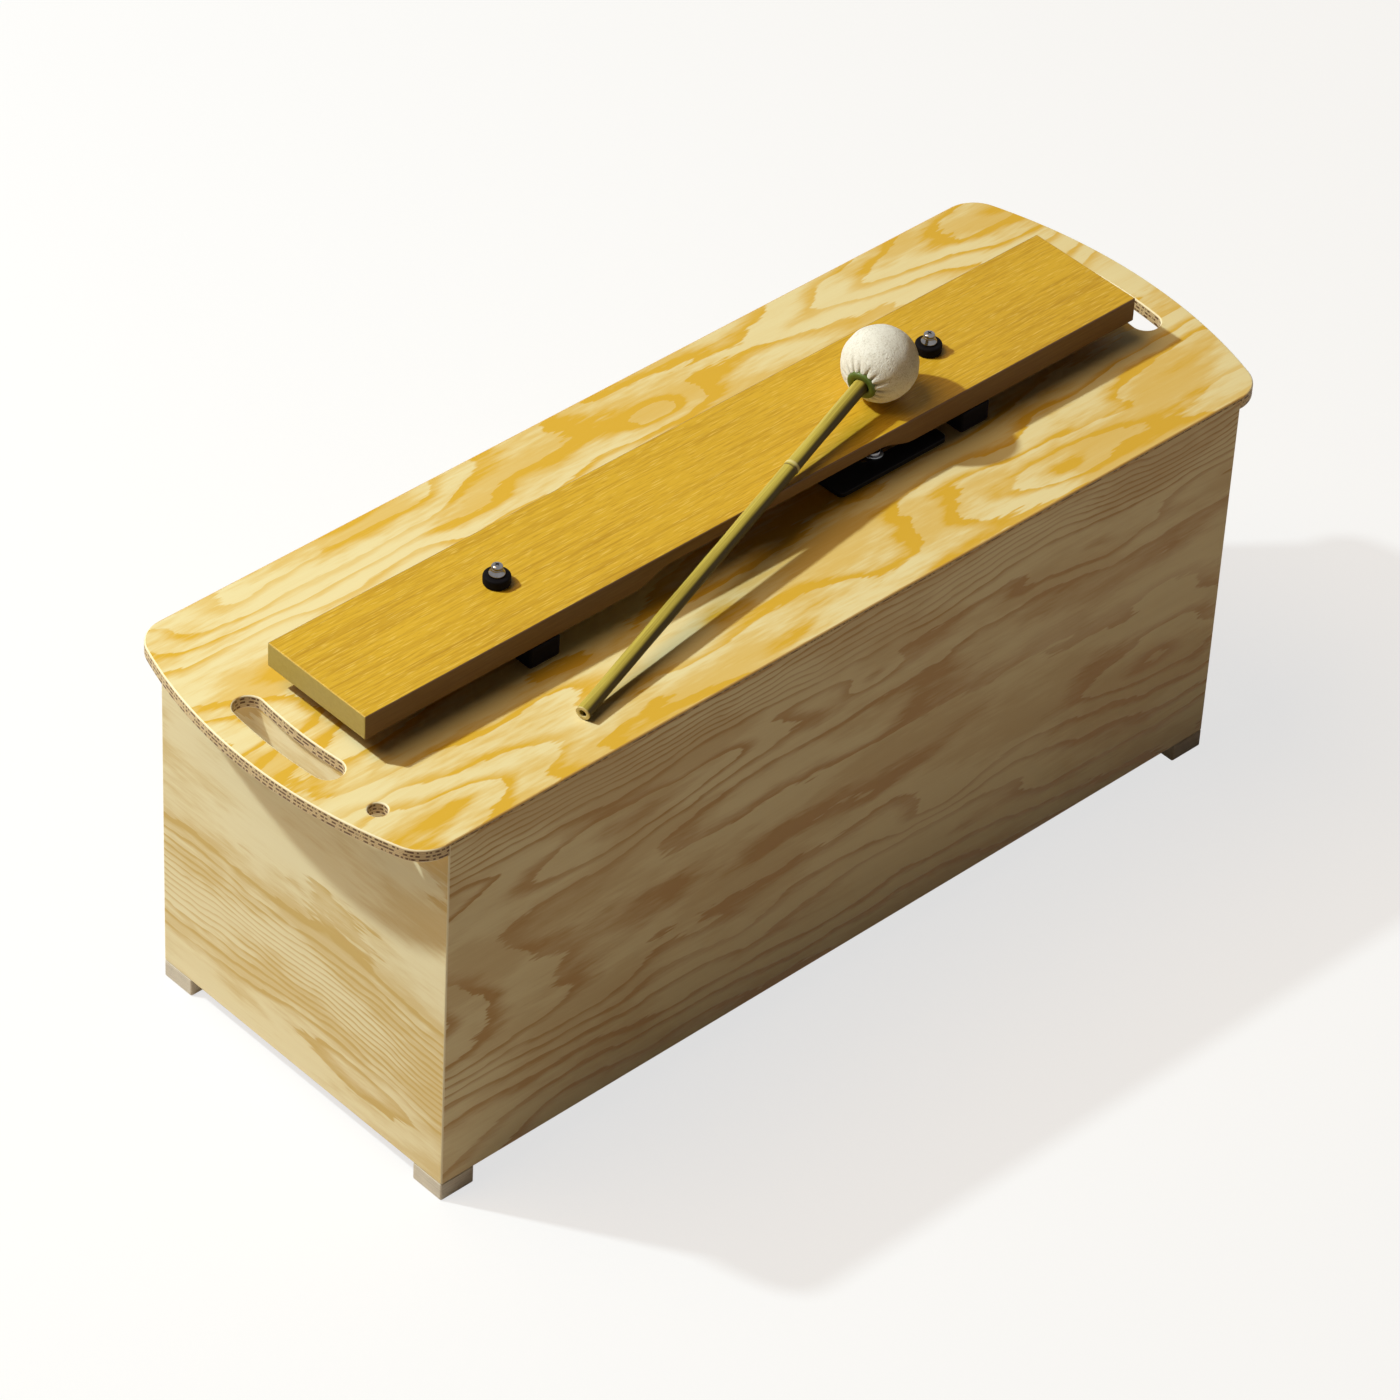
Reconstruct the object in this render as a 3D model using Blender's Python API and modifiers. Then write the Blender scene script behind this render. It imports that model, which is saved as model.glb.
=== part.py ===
"""Deep-bass chime bar: a plywood resonator box, one tuned wooden bar held between
rubber rests and bushes by two bolts at its still points, a slider that trims the
sound slot, and the mallet that lies across it.

Metres, +Z up. X runs along the bar, and the origin is on the floor under the middle
of the box.
"""
import math

import bmesh
import bpy
from mathutils import Matrix, Vector

# Fits
FIT = 0.0003                 # glue line, seat and sliding clearance
CUT_OVERRUN = 0.004          # how far a cutter stands out past the face that it cuts

# Resonator box
BOX_LENGTH = 0.602
BOX_WIDTH = 0.240
BOX_DEPTH = 0.250            # plate's top face down to the walls' lower edges
SIDE_WALL = 0.009
END_WALL = 0.009
BOTTOM_THICK = 0.006
CORNER_POST = 0.018
POST_CHAMFER = 0.007
CLEAT = 0.014

# Feet and the screws from below
FOOT_SIZE = 0.024
FOOT_HEIGHT = 0.012
FOOT_SCREW_LENGTH = 0.026
FOOT_SCREW_SINK = 0.003
BOTTOM_SCREW_LENGTH = 0.014
BOTTOM_SCREWS_A_SIDE = 3
BOTTOM_SCREW_PITCH = 0.200
SCREW_HEAD_RADIUS = 0.0036
SCREW_HEAD_DEPTH = 0.0022
SCREW_SHANK_RADIUS = 0.0018
SCREW_POINT_LENGTH = 0.004

# Top plate, its bowed handle ends and its openings
EAR_OVERHANG = 0.039         # the bow's outermost point past the box's end
PLATE_THICK = 0.0085
PLATE_LIP = 0.0018           # what stays above the rebate that takes a side wall
PLATE_ARRIS = 0.0007         # sanded edge of the outline and of every opening
EAR_BOW = 0.023
EAR_CORNER_RADIUS = 0.022
GRIP_LENGTH = 0.084
GRIP_WIDTH = 0.018
GRIP_OUT = 0.0115            # box's end to the grip slot's middle line
SOUND_SLOT_LENGTH = 0.194
SOUND_SLOT_WIDTH = 0.036
MALLET_HOLE_RADIUS = 0.0055
MALLET_HOLE_OUT = 0.011      # box's end to the hole's centre
MALLET_HOLE_IN = 0.045       # plate's front edge to the hole's centre

# Tone bar
BAR_LENGTH = 0.583
BAR_WIDTH = 0.081
BAR_THICK = 0.016
BAR_WAIST_THICK = 0.009
BAR_EDGE_BEVEL = 0.0008
WAIST_FLAT = 0.158
WAIST_RAMP = 0.028
WAIST_OFFSET = 0.008         # the undercut lies this far towards the slider
BOLT_PITCH = 0.327

# Rests, bushes and the bolts that hold the bar
REST_LENGTH = 0.022
REST_WIDTH = 0.082
REST_HEIGHT = 0.0131
REST_CORNER_RADIUS = 0.0015
BUSH_TUBE_WALL = 0.0024
BUSH_FLANGE_RADIUS = 0.0079
BUSH_FLANGE_HEIGHT = 0.0060
BUSH_FLANGE_ROUNDING = 0.0014
FERRULE_FOOT_RADIUS = 0.0048
FERRULE_FOOT_HEIGHT = 0.0008
FERRULE_TOP_RADIUS = 0.0034
FERRULE_HEIGHT = 0.0040
FERRULE_FLARE_HEIGHT = 0.0026
FERRULE_FLARE_CURVE = 1.5    # how tightly the flare turns in, 1 a plain quarter round
BOLT_RADIUS = 0.0021
BOLT_HEAD_RADIUS = 0.0033
BOLT_HEAD_HEIGHT = 0.0023
BOLT_HEAD_RIM = 0.0008       # straight part of the head under its crown
BOLT_BELOW_NUT = 0.003
WASHER_RADIUS = 0.0070
WASHER_THICK = 0.0012
NUT_ACROSS_FLATS = 0.0072
NUT_HEIGHT = 0.0035

# Tuning slider
SLIDER_LENGTH = 0.084
SLIDER_WIDTH = 0.082
SLIDER_THICK = 0.003
SLIDER_CORNER_RADIUS = 0.004
SLIDER_X = 0.100
SLIDER_SCREW_X = 0.098
SLIDER_SCREW_Y = 0.0255
SLIDER_TRAVEL_IN = 0.025     # towards the middle, closing the sound slot
SLIDER_TRAVEL_OUT = 0.008
SLIDER_SCREW_SHANK = 0.0019
SLIDER_SCREW_HEAD_RADIUS = 0.0040
SLIDER_SCREW_HEAD_HEIGHT = 0.0026
SLIDER_SCREW_IN_PLATE = 0.0075
SLIDER_WASHER_RADIUS = 0.0055
SLIDER_WASHER_THICK = 0.0010

# Mallet, with its sizes along the handle counted from the head's centre
HEAD_RADIUS = 0.0225
HEAD_X = 0.1122
HEAD_Y = -0.0117
COVER_THICK = 0.0030
COVER_LIP = 0.0008           # rounded edge of the felt round the collar
HANDLE_RADIUS = 0.0045
HANDLE_REACH = 0.3071
HANDLE_INSIDE_HEAD = 0.008
HANDLE_SWING = math.radians(15.0)   # in plan, from the bar's length towards the front
HANDLE_BORE_RADIUS = 0.0022
HANDLE_BORE_DEPTH = 0.014
HANDLE_NODE_AT = 0.094
HANDLE_NODE_RISE = 0.0004
HANDLE_NODE_LENGTH = 0.005
COLLAR_RADIUS = 0.0090
COLLAR_START = 0.0165
COLLAR_LENGTH = 0.0045

# Faceting
ARC_STEPS = 20
ROUND_STEPS = 24
SMALL_STEPS = 16
DOME_STEPS = 6
CORNER_STEPS = 4
RAMP_STEPS = 10
BALL_STEPS = 18

# Levels and places worked out from the sizes above
PLATE_LENGTH = BOX_LENGTH + 2 * EAR_OVERHANG
MALLET_HOLE_AT = (-BOX_LENGTH / 2 - MALLET_HOLE_OUT, -BOX_WIDTH / 2 + MALLET_HOLE_IN)
WALL_FOOT_Z = FOOT_HEIGHT + FIT
PLATE_TOP = WALL_FOOT_Z + BOX_DEPTH
PLATE_UNDER = PLATE_TOP - PLATE_THICK
BOTTOM_TOP = WALL_FOOT_Z + BOTTOM_THICK
REST_TOP = PLATE_TOP + FIT + REST_HEIGHT
BAR_UNDER = REST_TOP + FIT
BAR_TOP = BAR_UNDER + BAR_THICK
BOLT_BORE_RADIUS = BOLT_RADIUS + FIT
BUSH_TUBE_RADIUS = BOLT_BORE_RADIUS + BUSH_TUBE_WALL
BUSH_TOP = BAR_TOP + FIT + BUSH_FLANGE_HEIGHT
FERRULE_TOP = BUSH_TOP + FIT + FERRULE_HEIGHT
WASHER_FOOT = PLATE_UNDER - FIT - WASHER_THICK
NUT_FOOT = WASHER_FOOT - FIT - NUT_HEIGHT
BOLT_PLACES = {"left": -BOLT_PITCH / 2, "right": BOLT_PITCH / 2}
SIDES = {"left": -1, "right": 1}
EDGES = {"front": -1, "rear": 1}


def remove_everything():
    for obj in list(bpy.data.objects):
        bpy.data.objects.remove(obj, do_unlink=True)


def new_collection(name):
    group = bpy.data.collections.new(name)
    bpy.context.scene.collection.children.link(group)
    return group


def new_material(name, colour, roughness, metallic=0.0):
    mat = bpy.data.materials.new(name)
    mat.use_nodes = True
    mat.diffuse_color = (*colour, 1.0)
    shader = mat.node_tree.nodes["Principled BSDF"]
    shader.inputs["Base Color"].default_value = (*colour, 1.0)
    shader.inputs["Roughness"].default_value = roughness
    shader.inputs["Metallic"].default_value = metallic
    return mat


remove_everything()
PARTS = new_collection("chime_bar")
CUTTERS = new_collection("cutters")

PLY = new_material("birch_ply", (0.78, 0.64, 0.40), 0.45)
INNER_WOOD = new_material("pine_batten", (0.72, 0.55, 0.33), 0.6)
BAR_WOOD = new_material("bar_wood", (0.64, 0.42, 0.10), 0.38)
RUBBER = new_material("black_rubber", (0.02, 0.02, 0.02), 0.6)
SLIDER_BLACK = new_material("slider_black", (0.025, 0.025, 0.028), 0.5)
FOOT_GREY = new_material("foot_grey", (0.55, 0.54, 0.50), 0.8)
STEEL = new_material("polished_steel", (0.75, 0.75, 0.76), 0.2, 1.0)
ZINC = new_material("zinc_steel", (0.62, 0.63, 0.66), 0.35, 1.0)
CANE = new_material("green_cane", (0.50, 0.45, 0.12), 0.35)
COLLAR_GREEN = new_material("collar_green", (0.12, 0.20, 0.05), 0.5)
CORE_RUBBER = new_material("core_rubber", (0.30, 0.24, 0.18), 0.7)
FELT = new_material("white_felt", (0.80, 0.78, 0.70), 0.95)


def arc(centre, radius, start, end, steps):
    """Points on an arc, both ends included."""
    return [(centre[0] + radius * math.cos(a), centre[1] + radius * math.sin(a))
            for a in sweep(start, end, steps)]


def sweep(start, end, steps):
    """Angles from start to end, both included."""
    return [start + (end - start) * i / steps for i in range(steps + 1)]


def circle(centre, radius, steps):
    return arc(centre, radius, 0.0, 2 * math.pi, steps)[:-1]


def stadium(centre, length, width, steps):
    """A straight slot with round ends, long along X."""
    reach = (length - width) / 2
    right = arc((centre[0] + reach, centre[1]), width / 2, -math.pi / 2, math.pi / 2, steps)
    left = arc((centre[0] - reach, centre[1]), width / 2, math.pi / 2, 3 * math.pi / 2, steps)
    return right + left


def rounded_rectangle(centre, length, width, radius, steps):
    points = []
    for turn, (sx, sy) in enumerate(((1, 1), (-1, 1), (-1, -1), (1, -1))):
        corner = (centre[0] + sx * (length / 2 - radius), centre[1] + sy * (width / 2 - radius))
        points += arc(corner, radius, turn * math.pi / 2, (turn + 1) * math.pi / 2, steps)
    return points


def mesh_object(name, mesh, mat, location=(0, 0, 0), parent=None, collection=PARTS):
    obj = bpy.data.objects.new(name, mesh)
    collection.objects.link(obj)
    obj.location = location
    obj.parent = parent
    if mat is not None:
        mesh.materials.clear()
        mesh.materials.append(mat)
    return obj


def evaluated_mesh(obj):
    """The object's mesh after its modifiers, its loose caps welded on; the object goes."""
    bpy.context.view_layer.update()
    depsgraph = bpy.context.evaluated_depsgraph_get()
    mesh = bpy.data.meshes.new_from_object(obj.evaluated_get(depsgraph))
    bpy.data.objects.remove(obj, do_unlink=True)
    bm = bmesh.new()
    bm.from_mesh(mesh)
    bmesh.ops.remove_doubles(bm, verts=bm.verts, dist=1e-6)
    bmesh.ops.recalc_face_normals(bm, faces=bm.faces)
    bm.to_mesh(mesh)
    bm.free()
    return mesh


def flat_mesh(outlines, thickness):
    """A flat piece, its middle plane at z = 0. The outlines after the first are holes."""
    curve = bpy.data.curves.new("outline", "CURVE")
    curve.dimensions = "2D"
    curve.fill_mode = "BOTH"
    curve.extrude = thickness / 2
    for outline in outlines:
        spline = curve.splines.new("POLY")
        spline.points.add(len(outline) - 1)
        spline.use_cyclic_u = True
        for point, (x, y) in zip(spline.points, outline):
            point.co = (x, y, 0.0, 1.0)
    obj = bpy.data.objects.new("outline", curve)
    PARTS.objects.link(obj)
    return evaluated_mesh(obj)


def flat_piece(name, outlines, low, high, mat, centre=(0, 0), parent=None, collection=PARTS):
    """A flat piece that lies between two levels."""
    mesh = flat_mesh(outlines, high - low)
    return mesh_object(name, mesh, mat, (*centre, (low + high) / 2), parent, collection)


def turned_mesh(profile, steps, closed=False):
    """A turned piece: (radius, z) points down the outer side, spun round Z."""
    mesh = bpy.data.meshes.new("profile")
    edges = [(i, i + 1) for i in range(len(profile) - 1)]
    if closed:
        edges.append((len(profile) - 1, 0))
    mesh.from_pydata([(r, 0.0, z) for r, z in profile], edges, [])
    obj = bpy.data.objects.new("profile", mesh)
    PARTS.objects.link(obj)
    spin = obj.modifiers.new("spin", "SCREW")
    spin.steps = spin.render_steps = steps
    spin.use_merge_vertices = True
    spin.merge_threshold = 1e-6
    turned = evaluated_mesh(obj)
    turned.shade_smooth()
    turned.set_sharp_from_angle(angle=math.radians(35))
    return turned


def repeated_mesh(mesh, places):
    """One mesh of separate copies, one at each place, for cutters."""
    bm = bmesh.new()
    for place in places:
        one = mesh.copy()
        one.transform(Matrix.Translation(place))
        bm.from_mesh(one)
        bpy.data.meshes.remove(one)
    joined = bpy.data.meshes.new(mesh.name)
    bm.to_mesh(joined)
    bm.free()
    return joined


def cut(obj, cutter):
    cutter.hide_render = True
    cutter.display_type = "WIRE"
    boolean = obj.modifiers.new("cut", "BOOLEAN")
    boolean.operation = "DIFFERENCE"
    boolean.solver = "EXACT"
    boolean.object = cutter


def soften(obj, width, segments=1, angle=60):
    bevel = obj.modifiers.new("edges", "BEVEL")
    bevel.width = width
    bevel.segments = segments
    bevel.limit_method = "ANGLE"
    bevel.angle_limit = math.radians(angle)


def ear_arc_radius():
    half = BOX_WIDTH / 2
    return (EAR_BOW ** 2 + half ** 2) / (2 * EAR_BOW)


def right_ear_outline():
    """The plate's right end from its lower to its upper long edge: fillet, bow, fillet."""
    bow_radius = ear_arc_radius()
    bow_x = PLATE_LENGTH / 2 - bow_radius
    fillet_y = BOX_WIDTH / 2 - EAR_CORNER_RADIUS
    fillet_x = bow_x + math.sqrt((bow_radius - EAR_CORNER_RADIUS) ** 2 - fillet_y ** 2)
    meet = math.atan2(fillet_y, fillet_x - bow_x)
    fillet_steps = ARC_STEPS // 2
    lower = arc((fillet_x, -fillet_y), EAR_CORNER_RADIUS, -math.pi / 2, -meet, fillet_steps)
    bow = arc((bow_x, 0), bow_radius, -meet, meet, ARC_STEPS)
    upper = arc((fillet_x, fillet_y), EAR_CORNER_RADIUS, meet, math.pi / 2, fillet_steps)
    return lower + bow[1:-1] + upper


def right_grip_outline():
    """A finger slot that follows the bow of the ear."""
    bow_radius = ear_arc_radius()
    bow_x = PLATE_LENGTH / 2 - bow_radius
    middle = bow_radius - EAR_OVERHANG + GRIP_OUT
    half = GRIP_WIDTH / 2
    swing = (GRIP_LENGTH / 2 - half) / middle
    top = (bow_x + middle * math.cos(swing), middle * math.sin(swing))
    foot = (top[0], -top[1])
    outer = arc((bow_x, 0), middle + half, -swing, swing, ARC_STEPS // 2)
    top_end = arc(top, half, swing, swing + math.pi, ARC_STEPS // 2)
    inner = arc((bow_x, 0), middle - half, swing, -swing, ARC_STEPS // 2)
    foot_end = arc(foot, half, math.pi - swing, 2 * math.pi - swing, ARC_STEPS // 2)
    return outer + top_end[1:-1] + inner + foot_end[1:-1]


def turned_about(points):
    """The same outline at the left end, still running the same way round."""
    return [(-x, -y) for x, y in points]


def side_rebate(name, edge):
    """What a side wall's top edge takes out of the plate's underside."""
    depth = SIDE_WALL + FIT
    slope = END_WALL / SIDE_WALL
    slack = mitre_inset()
    outer = BOX_LENGTH / 2 + CUT_OVERRUN * slope + slack
    inner = BOX_LENGTH / 2 - depth * slope + slack
    points = [(-outer, -CUT_OVERRUN), (outer, -CUT_OVERRUN), (inner, depth), (-inner, depth)]
    if edge > 0:
        points = turned_about(points)
    return flat_piece(name, [points], PLATE_UNDER - CUT_OVERRUN, PLATE_TOP - PLATE_LIP,
                      None, (0, edge * BOX_WIDTH / 2), None, CUTTERS)


def build_top_plate():
    ear = right_ear_outline()
    grip = right_grip_outline()
    holes = [
        grip,
        turned_about(grip),
        stadium((0, 0), SOUND_SLOT_LENGTH, SOUND_SLOT_WIDTH, ARC_STEPS // 2),
        circle(MALLET_HOLE_AT, MALLET_HOLE_RADIUS, ROUND_STEPS),
    ]
    for x in BOLT_PLACES.values():
        holes.append(circle((x, 0), BOLT_BORE_RADIUS, SMALL_STEPS))
    for edge in EDGES.values():
        screw_at = (SLIDER_SCREW_X, edge * SLIDER_SCREW_Y)
        holes.append(circle(screw_at, SLIDER_SCREW_SHANK + FIT, SMALL_STEPS))
    plate = flat_piece("top_plate", [ear + turned_about(ear)] + holes,
                       PLATE_UNDER, PLATE_TOP, PLY)
    soften(plate, PLATE_ARRIS)
    for name, edge in EDGES.items():
        cut(plate, side_rebate(f"{name}_rebate", edge))


def mitre_inset():
    """How far each mitred wall stops short of the corner line."""
    return FIT / math.sqrt(2)


def wall_outline(length, thickness, inner_step):
    """A mitred wall in plan: its outer face on y = 0, its inner face at y = thickness."""
    outer = length / 2 - mitre_inset()
    inner = outer - inner_step
    return [(-outer, 0), (outer, 0), (inner, thickness), (-inner, thickness)]


def build_walls():
    for name, edge in EDGES.items():
        outline = wall_outline(BOX_LENGTH, SIDE_WALL, END_WALL)
        wall = flat_piece(f"{name}_wall", [outline], WALL_FOOT_Z,
                          PLATE_TOP - PLATE_LIP - FIT, PLY, (0, edge * BOX_WIDTH / 2))
        wall.rotation_euler.z = math.pi if edge > 0 else 0.0
    for name, side in SIDES.items():
        outline = wall_outline(BOX_WIDTH, END_WALL, SIDE_WALL)
        wall = flat_piece(f"{name}_wall", [outline], WALL_FOOT_Z,
                          PLATE_UNDER - FIT, PLY, (side * BOX_LENGTH / 2, 0))
        wall.rotation_euler.z = side * math.pi / 2


def countersunk_profile(length, grow=0.0):
    """A countersunk wood screw, its flat head on z = 0 and its point down."""
    head = SCREW_HEAD_RADIUS + grow
    shank = SCREW_SHANK_RADIUS + grow
    return [
        (0.0, 0.0), (head, 0.0), (shank, -SCREW_HEAD_DEPTH - grow),
        (shank, -length + SCREW_POINT_LENGTH), (0.0, -length - grow),
    ]


def countersunk_cutter_mesh(length):
    """The screw's room, with its mouth open past the face that it is driven into."""
    profile = countersunk_profile(length, FIT)
    mouth = SCREW_HEAD_RADIUS + FIT
    return turned_mesh([(0.0, FOOT_SCREW_SINK + CUT_OVERRUN),
                        (mouth, FOOT_SCREW_SINK + CUT_OVERRUN)] + profile[1:], SMALL_STEPS)


def corner_places():
    return {(f"{edge_name}_{side_name}"): (side, edge)
            for edge_name, edge in EDGES.items() for side_name, side in SIDES.items()}


def foot_centre(side, edge):
    return (side * (BOX_LENGTH - FOOT_SIZE) / 2, edge * (BOX_WIDTH - FOOT_SIZE) / 2)


def foot_screw_places():
    """Each foot's screw goes up into the corner post, so it stands under the post."""
    across = SIDE_WALL + FIT + CORNER_POST / 2
    along = END_WALL + FIT + CORNER_POST / 2
    return {name: (side * (BOX_LENGTH / 2 - along), edge * (BOX_WIDTH / 2 - across),
                   FOOT_SCREW_SINK)
            for name, (side, edge) in corner_places().items()}


def bottom_screw_places():
    y = BOX_WIDTH / 2 - SIDE_WALL - FIT - CLEAT / 2
    first = -(BOTTOM_SCREWS_A_SIDE - 1) / 2 * BOTTOM_SCREW_PITCH
    return {f"{name}_{i + 1}": (first + i * BOTTOM_SCREW_PITCH, edge * y, WALL_FOOT_Z)
            for name, edge in EDGES.items() for i in range(BOTTOM_SCREWS_A_SIDE)}


def drive_screws(kind, length, places):
    """Puts a screw at each place, its point up, and returns the cutter of their holes."""
    screw = turned_mesh(countersunk_profile(length), SMALL_STEPS)
    screw.transform(Matrix.Rotation(math.pi, 4, "X"))
    for name, place in places.items():
        mesh_object(f"{kind}_{name}", screw.copy(), ZINC, place)
    hole = countersunk_cutter_mesh(length)
    hole.transform(Matrix.Rotation(math.pi, 4, "X"))
    return mesh_object(f"{kind}_holes", repeated_mesh(hole, places.values()), None,
                       collection=CUTTERS)


def build_floor():
    """Bottom panel, corner posts, cleats, feet and the screws that join them."""
    foot_cutter = drive_screws("foot_screw", FOOT_SCREW_LENGTH, foot_screw_places())
    bottom_cutter = drive_screws("bottom_screw", BOTTOM_SCREW_LENGTH, bottom_screw_places())

    inner_x = BOX_LENGTH / 2 - END_WALL - FIT
    inner_y = BOX_WIDTH / 2 - SIDE_WALL - FIT
    corners = [(-inner_x, -inner_y), (inner_x, -inner_y), (inner_x, inner_y), (-inner_x, inner_y)]
    panel = flat_piece("bottom_panel", [corners], WALL_FOOT_Z, BOTTOM_TOP, PLY)
    cut(panel, foot_cutter)
    cut(panel, bottom_cutter)

    for name, (side, edge) in corner_places().items():
        half = CORNER_POST / 2
        chamfer = half - POST_CHAMFER
        section = [(half, half), (-half, half), (-half, -chamfer), (-chamfer, -half), (half, -half)]
        if side * edge < 0:
            section = [(x, -y) for x, y in reversed(section)]
        if side < 0:
            section = turned_about(section)
        post_at = (side * (inner_x - half), edge * (inner_y - half))
        post = flat_piece(f"corner_post_{name}", [section], BOTTOM_TOP + FIT,
                          PLATE_UNDER - FIT, INNER_WOOD, post_at)
        cut(post, foot_cutter)

        half_foot = FOOT_SIZE / 2
        square = [(-half_foot, -half_foot), (half_foot, -half_foot),
                  (half_foot, half_foot), (-half_foot, half_foot)]
        foot = flat_piece(f"foot_{name}", [square], 0.0, FOOT_HEIGHT, FOOT_GREY,
                          foot_centre(side, edge))
        cut(foot, foot_cutter)

    cleat_length = 2 * (inner_x - CORNER_POST - FIT)
    for name, edge in EDGES.items():
        half = CLEAT / 2
        reach = cleat_length / 2
        section = [(-reach, -half), (reach, -half), (reach, half), (-reach, half)]
        cleat = flat_piece(f"bottom_cleat_{name}", [section], BOTTOM_TOP + FIT,
                           BOTTOM_TOP + FIT + CLEAT, INNER_WOOD, (0, edge * (inner_y - half)))
        cut(cleat, bottom_cutter)


def bolt_profile():
    """A pan-head bolt from the crown of its head to its foot under the nut."""
    seat = FERRULE_TOP + FIT
    crown = [(BOLT_HEAD_RADIUS * math.sin(a),
              seat + BOLT_HEAD_RIM + (BOLT_HEAD_HEIGHT - BOLT_HEAD_RIM) * math.cos(a))
             for a in sweep(0.0, math.pi / 2, DOME_STEPS)]
    foot = NUT_FOOT - BOLT_BELOW_NUT
    return crown + [(BOLT_HEAD_RADIUS, seat), (BOLT_RADIUS, seat), (BOLT_RADIUS, foot), (0.0, foot)]


def ferrule_profile():
    """The flared steel foot under the bolt's head: wide on the rubber, narrow above."""
    low = BUSH_TOP + FIT
    shoulder = low + FERRULE_FOOT_HEIGHT
    fall = FERRULE_FOOT_RADIUS - FERRULE_TOP_RADIUS
    flare = [(FERRULE_TOP_RADIUS + fall * (1 - math.sin(a)) ** FERRULE_FLARE_CURVE,
              shoulder + FERRULE_FLARE_HEIGHT * math.sin(a))
             for a in sweep(math.pi / 2, 0.0, DOME_STEPS)]
    return [(BOLT_BORE_RADIUS, FERRULE_TOP), (FERRULE_TOP_RADIUS, FERRULE_TOP)] + flare + [
        (FERRULE_FOOT_RADIUS, low), (BOLT_BORE_RADIUS, low),
    ]


def ring_mesh(outer, inner, low, high, steps):
    return turned_mesh([(outer, high), (outer, low), (inner, low), (inner, high)], steps, True)


def build_rests_and_bolts():
    bolt = turned_mesh(bolt_profile(), ROUND_STEPS)
    ferrule = turned_mesh(ferrule_profile(), ROUND_STEPS, closed=True)
    washer = ring_mesh(WASHER_RADIUS, BOLT_BORE_RADIUS, WASHER_FOOT, PLATE_UNDER - FIT, ROUND_STEPS)
    hexagon = circle((0, 0), NUT_ACROSS_FLATS / 2 / math.cos(math.pi / 6), 6)
    nut = flat_mesh([hexagon, circle((0, 0), BOLT_BORE_RADIUS, SMALL_STEPS)], NUT_HEIGHT)
    rest_outline = rounded_rectangle((0, 0), REST_LENGTH, REST_WIDTH, REST_CORNER_RADIUS,
                                     CORNER_STEPS)
    rest_hole = circle((0, 0), BOLT_BORE_RADIUS, SMALL_STEPS)
    for name, x in BOLT_PLACES.items():
        mesh_object(f"bar_bolt_{name}", bolt.copy(), STEEL, (x, 0, 0))
        mesh_object(f"bolt_ferrule_{name}", ferrule.copy(), STEEL, (x, 0, 0))
        mesh_object(f"bolt_washer_{name}", washer.copy(), ZINC, (x, 0, 0))
        mesh_object(f"bolt_nut_{name}", nut.copy(), ZINC, (x, 0, NUT_FOOT + NUT_HEIGHT / 2))
        flat_piece(f"bar_rest_{name}", [rest_outline, rest_hole], PLATE_TOP + FIT, REST_TOP,
                   RUBBER, (x, 0))


def build_slider():
    """A slotted plate under two round-head screws, sliding over the sound slot."""
    hub = bpy.data.objects.new("slider_slide", None)
    PARTS.objects.link(hub)
    hub.location = (SLIDER_X, 0, PLATE_TOP)
    slot_middle = SLIDER_SCREW_X - SLIDER_X + (SLIDER_TRAVEL_IN - SLIDER_TRAVEL_OUT) / 2
    slot_width = 2 * (SLIDER_SCREW_SHANK + FIT)
    slot_length = SLIDER_TRAVEL_IN + SLIDER_TRAVEL_OUT + slot_width
    outline = rounded_rectangle((0, 0), SLIDER_LENGTH, SLIDER_WIDTH, SLIDER_CORNER_RADIUS,
                                CORNER_STEPS)
    slots = [stadium((slot_middle, edge * SLIDER_SCREW_Y), slot_length, slot_width, DOME_STEPS)
             for edge in EDGES.values()]
    flat_piece("tuning_slider", [outline] + slots, FIT, FIT + SLIDER_THICK, SLIDER_BLACK,
               parent=hub)

    washer_foot = PLATE_TOP + FIT + SLIDER_THICK + FIT
    washer_top = washer_foot + SLIDER_WASHER_THICK
    washer = ring_mesh(SLIDER_WASHER_RADIUS, SLIDER_SCREW_SHANK + FIT, washer_foot, washer_top,
                       SMALL_STEPS)
    seat = washer_top + FIT
    dome = [(SLIDER_SCREW_HEAD_RADIUS * math.sin(a),
             seat + SLIDER_SCREW_HEAD_HEIGHT * math.cos(a))
            for a in sweep(0.0, math.pi / 2, DOME_STEPS)]
    point = PLATE_TOP - SLIDER_SCREW_IN_PLATE
    screw = turned_mesh(dome + [(SLIDER_SCREW_SHANK, seat),
                                (SLIDER_SCREW_SHANK, point + SLIDER_SCREW_SHANK),
                                (0.0, point)], SMALL_STEPS)
    for name, edge in EDGES.items():
        place = (SLIDER_SCREW_X, edge * SLIDER_SCREW_Y, 0)
        mesh_object(f"slider_washer_{name}", washer.copy(), ZINC, place)
        mesh_object(f"slider_screw_{name}", screw.copy(), STEEL, place)


def bar_side_outline():
    """The bar from the side, z = 0 on its underside: flat ends, and a waist that is
    cut away underneath between two smooth ramps."""
    rise = BAR_THICK - BAR_WAIST_THICK
    start = WAIST_OFFSET - WAIST_FLAT / 2 - WAIST_RAMP
    end = WAIST_OFFSET + WAIST_FLAT / 2 + WAIST_RAMP
    ramp = [(WAIST_RAMP * a / math.pi, rise * (1 - math.cos(a)) / 2)
            for a in sweep(0.0, math.pi, RAMP_STEPS)]
    half = BAR_LENGTH / 2
    lower = [(-half, 0.0)]
    lower += [(start + x, z) for x, z in ramp]
    lower += [(end - x, z) for x, z in reversed(ramp)]
    lower += [(half, 0.0)]
    return lower + [(half, BAR_THICK), (-half, BAR_THICK)]


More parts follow.
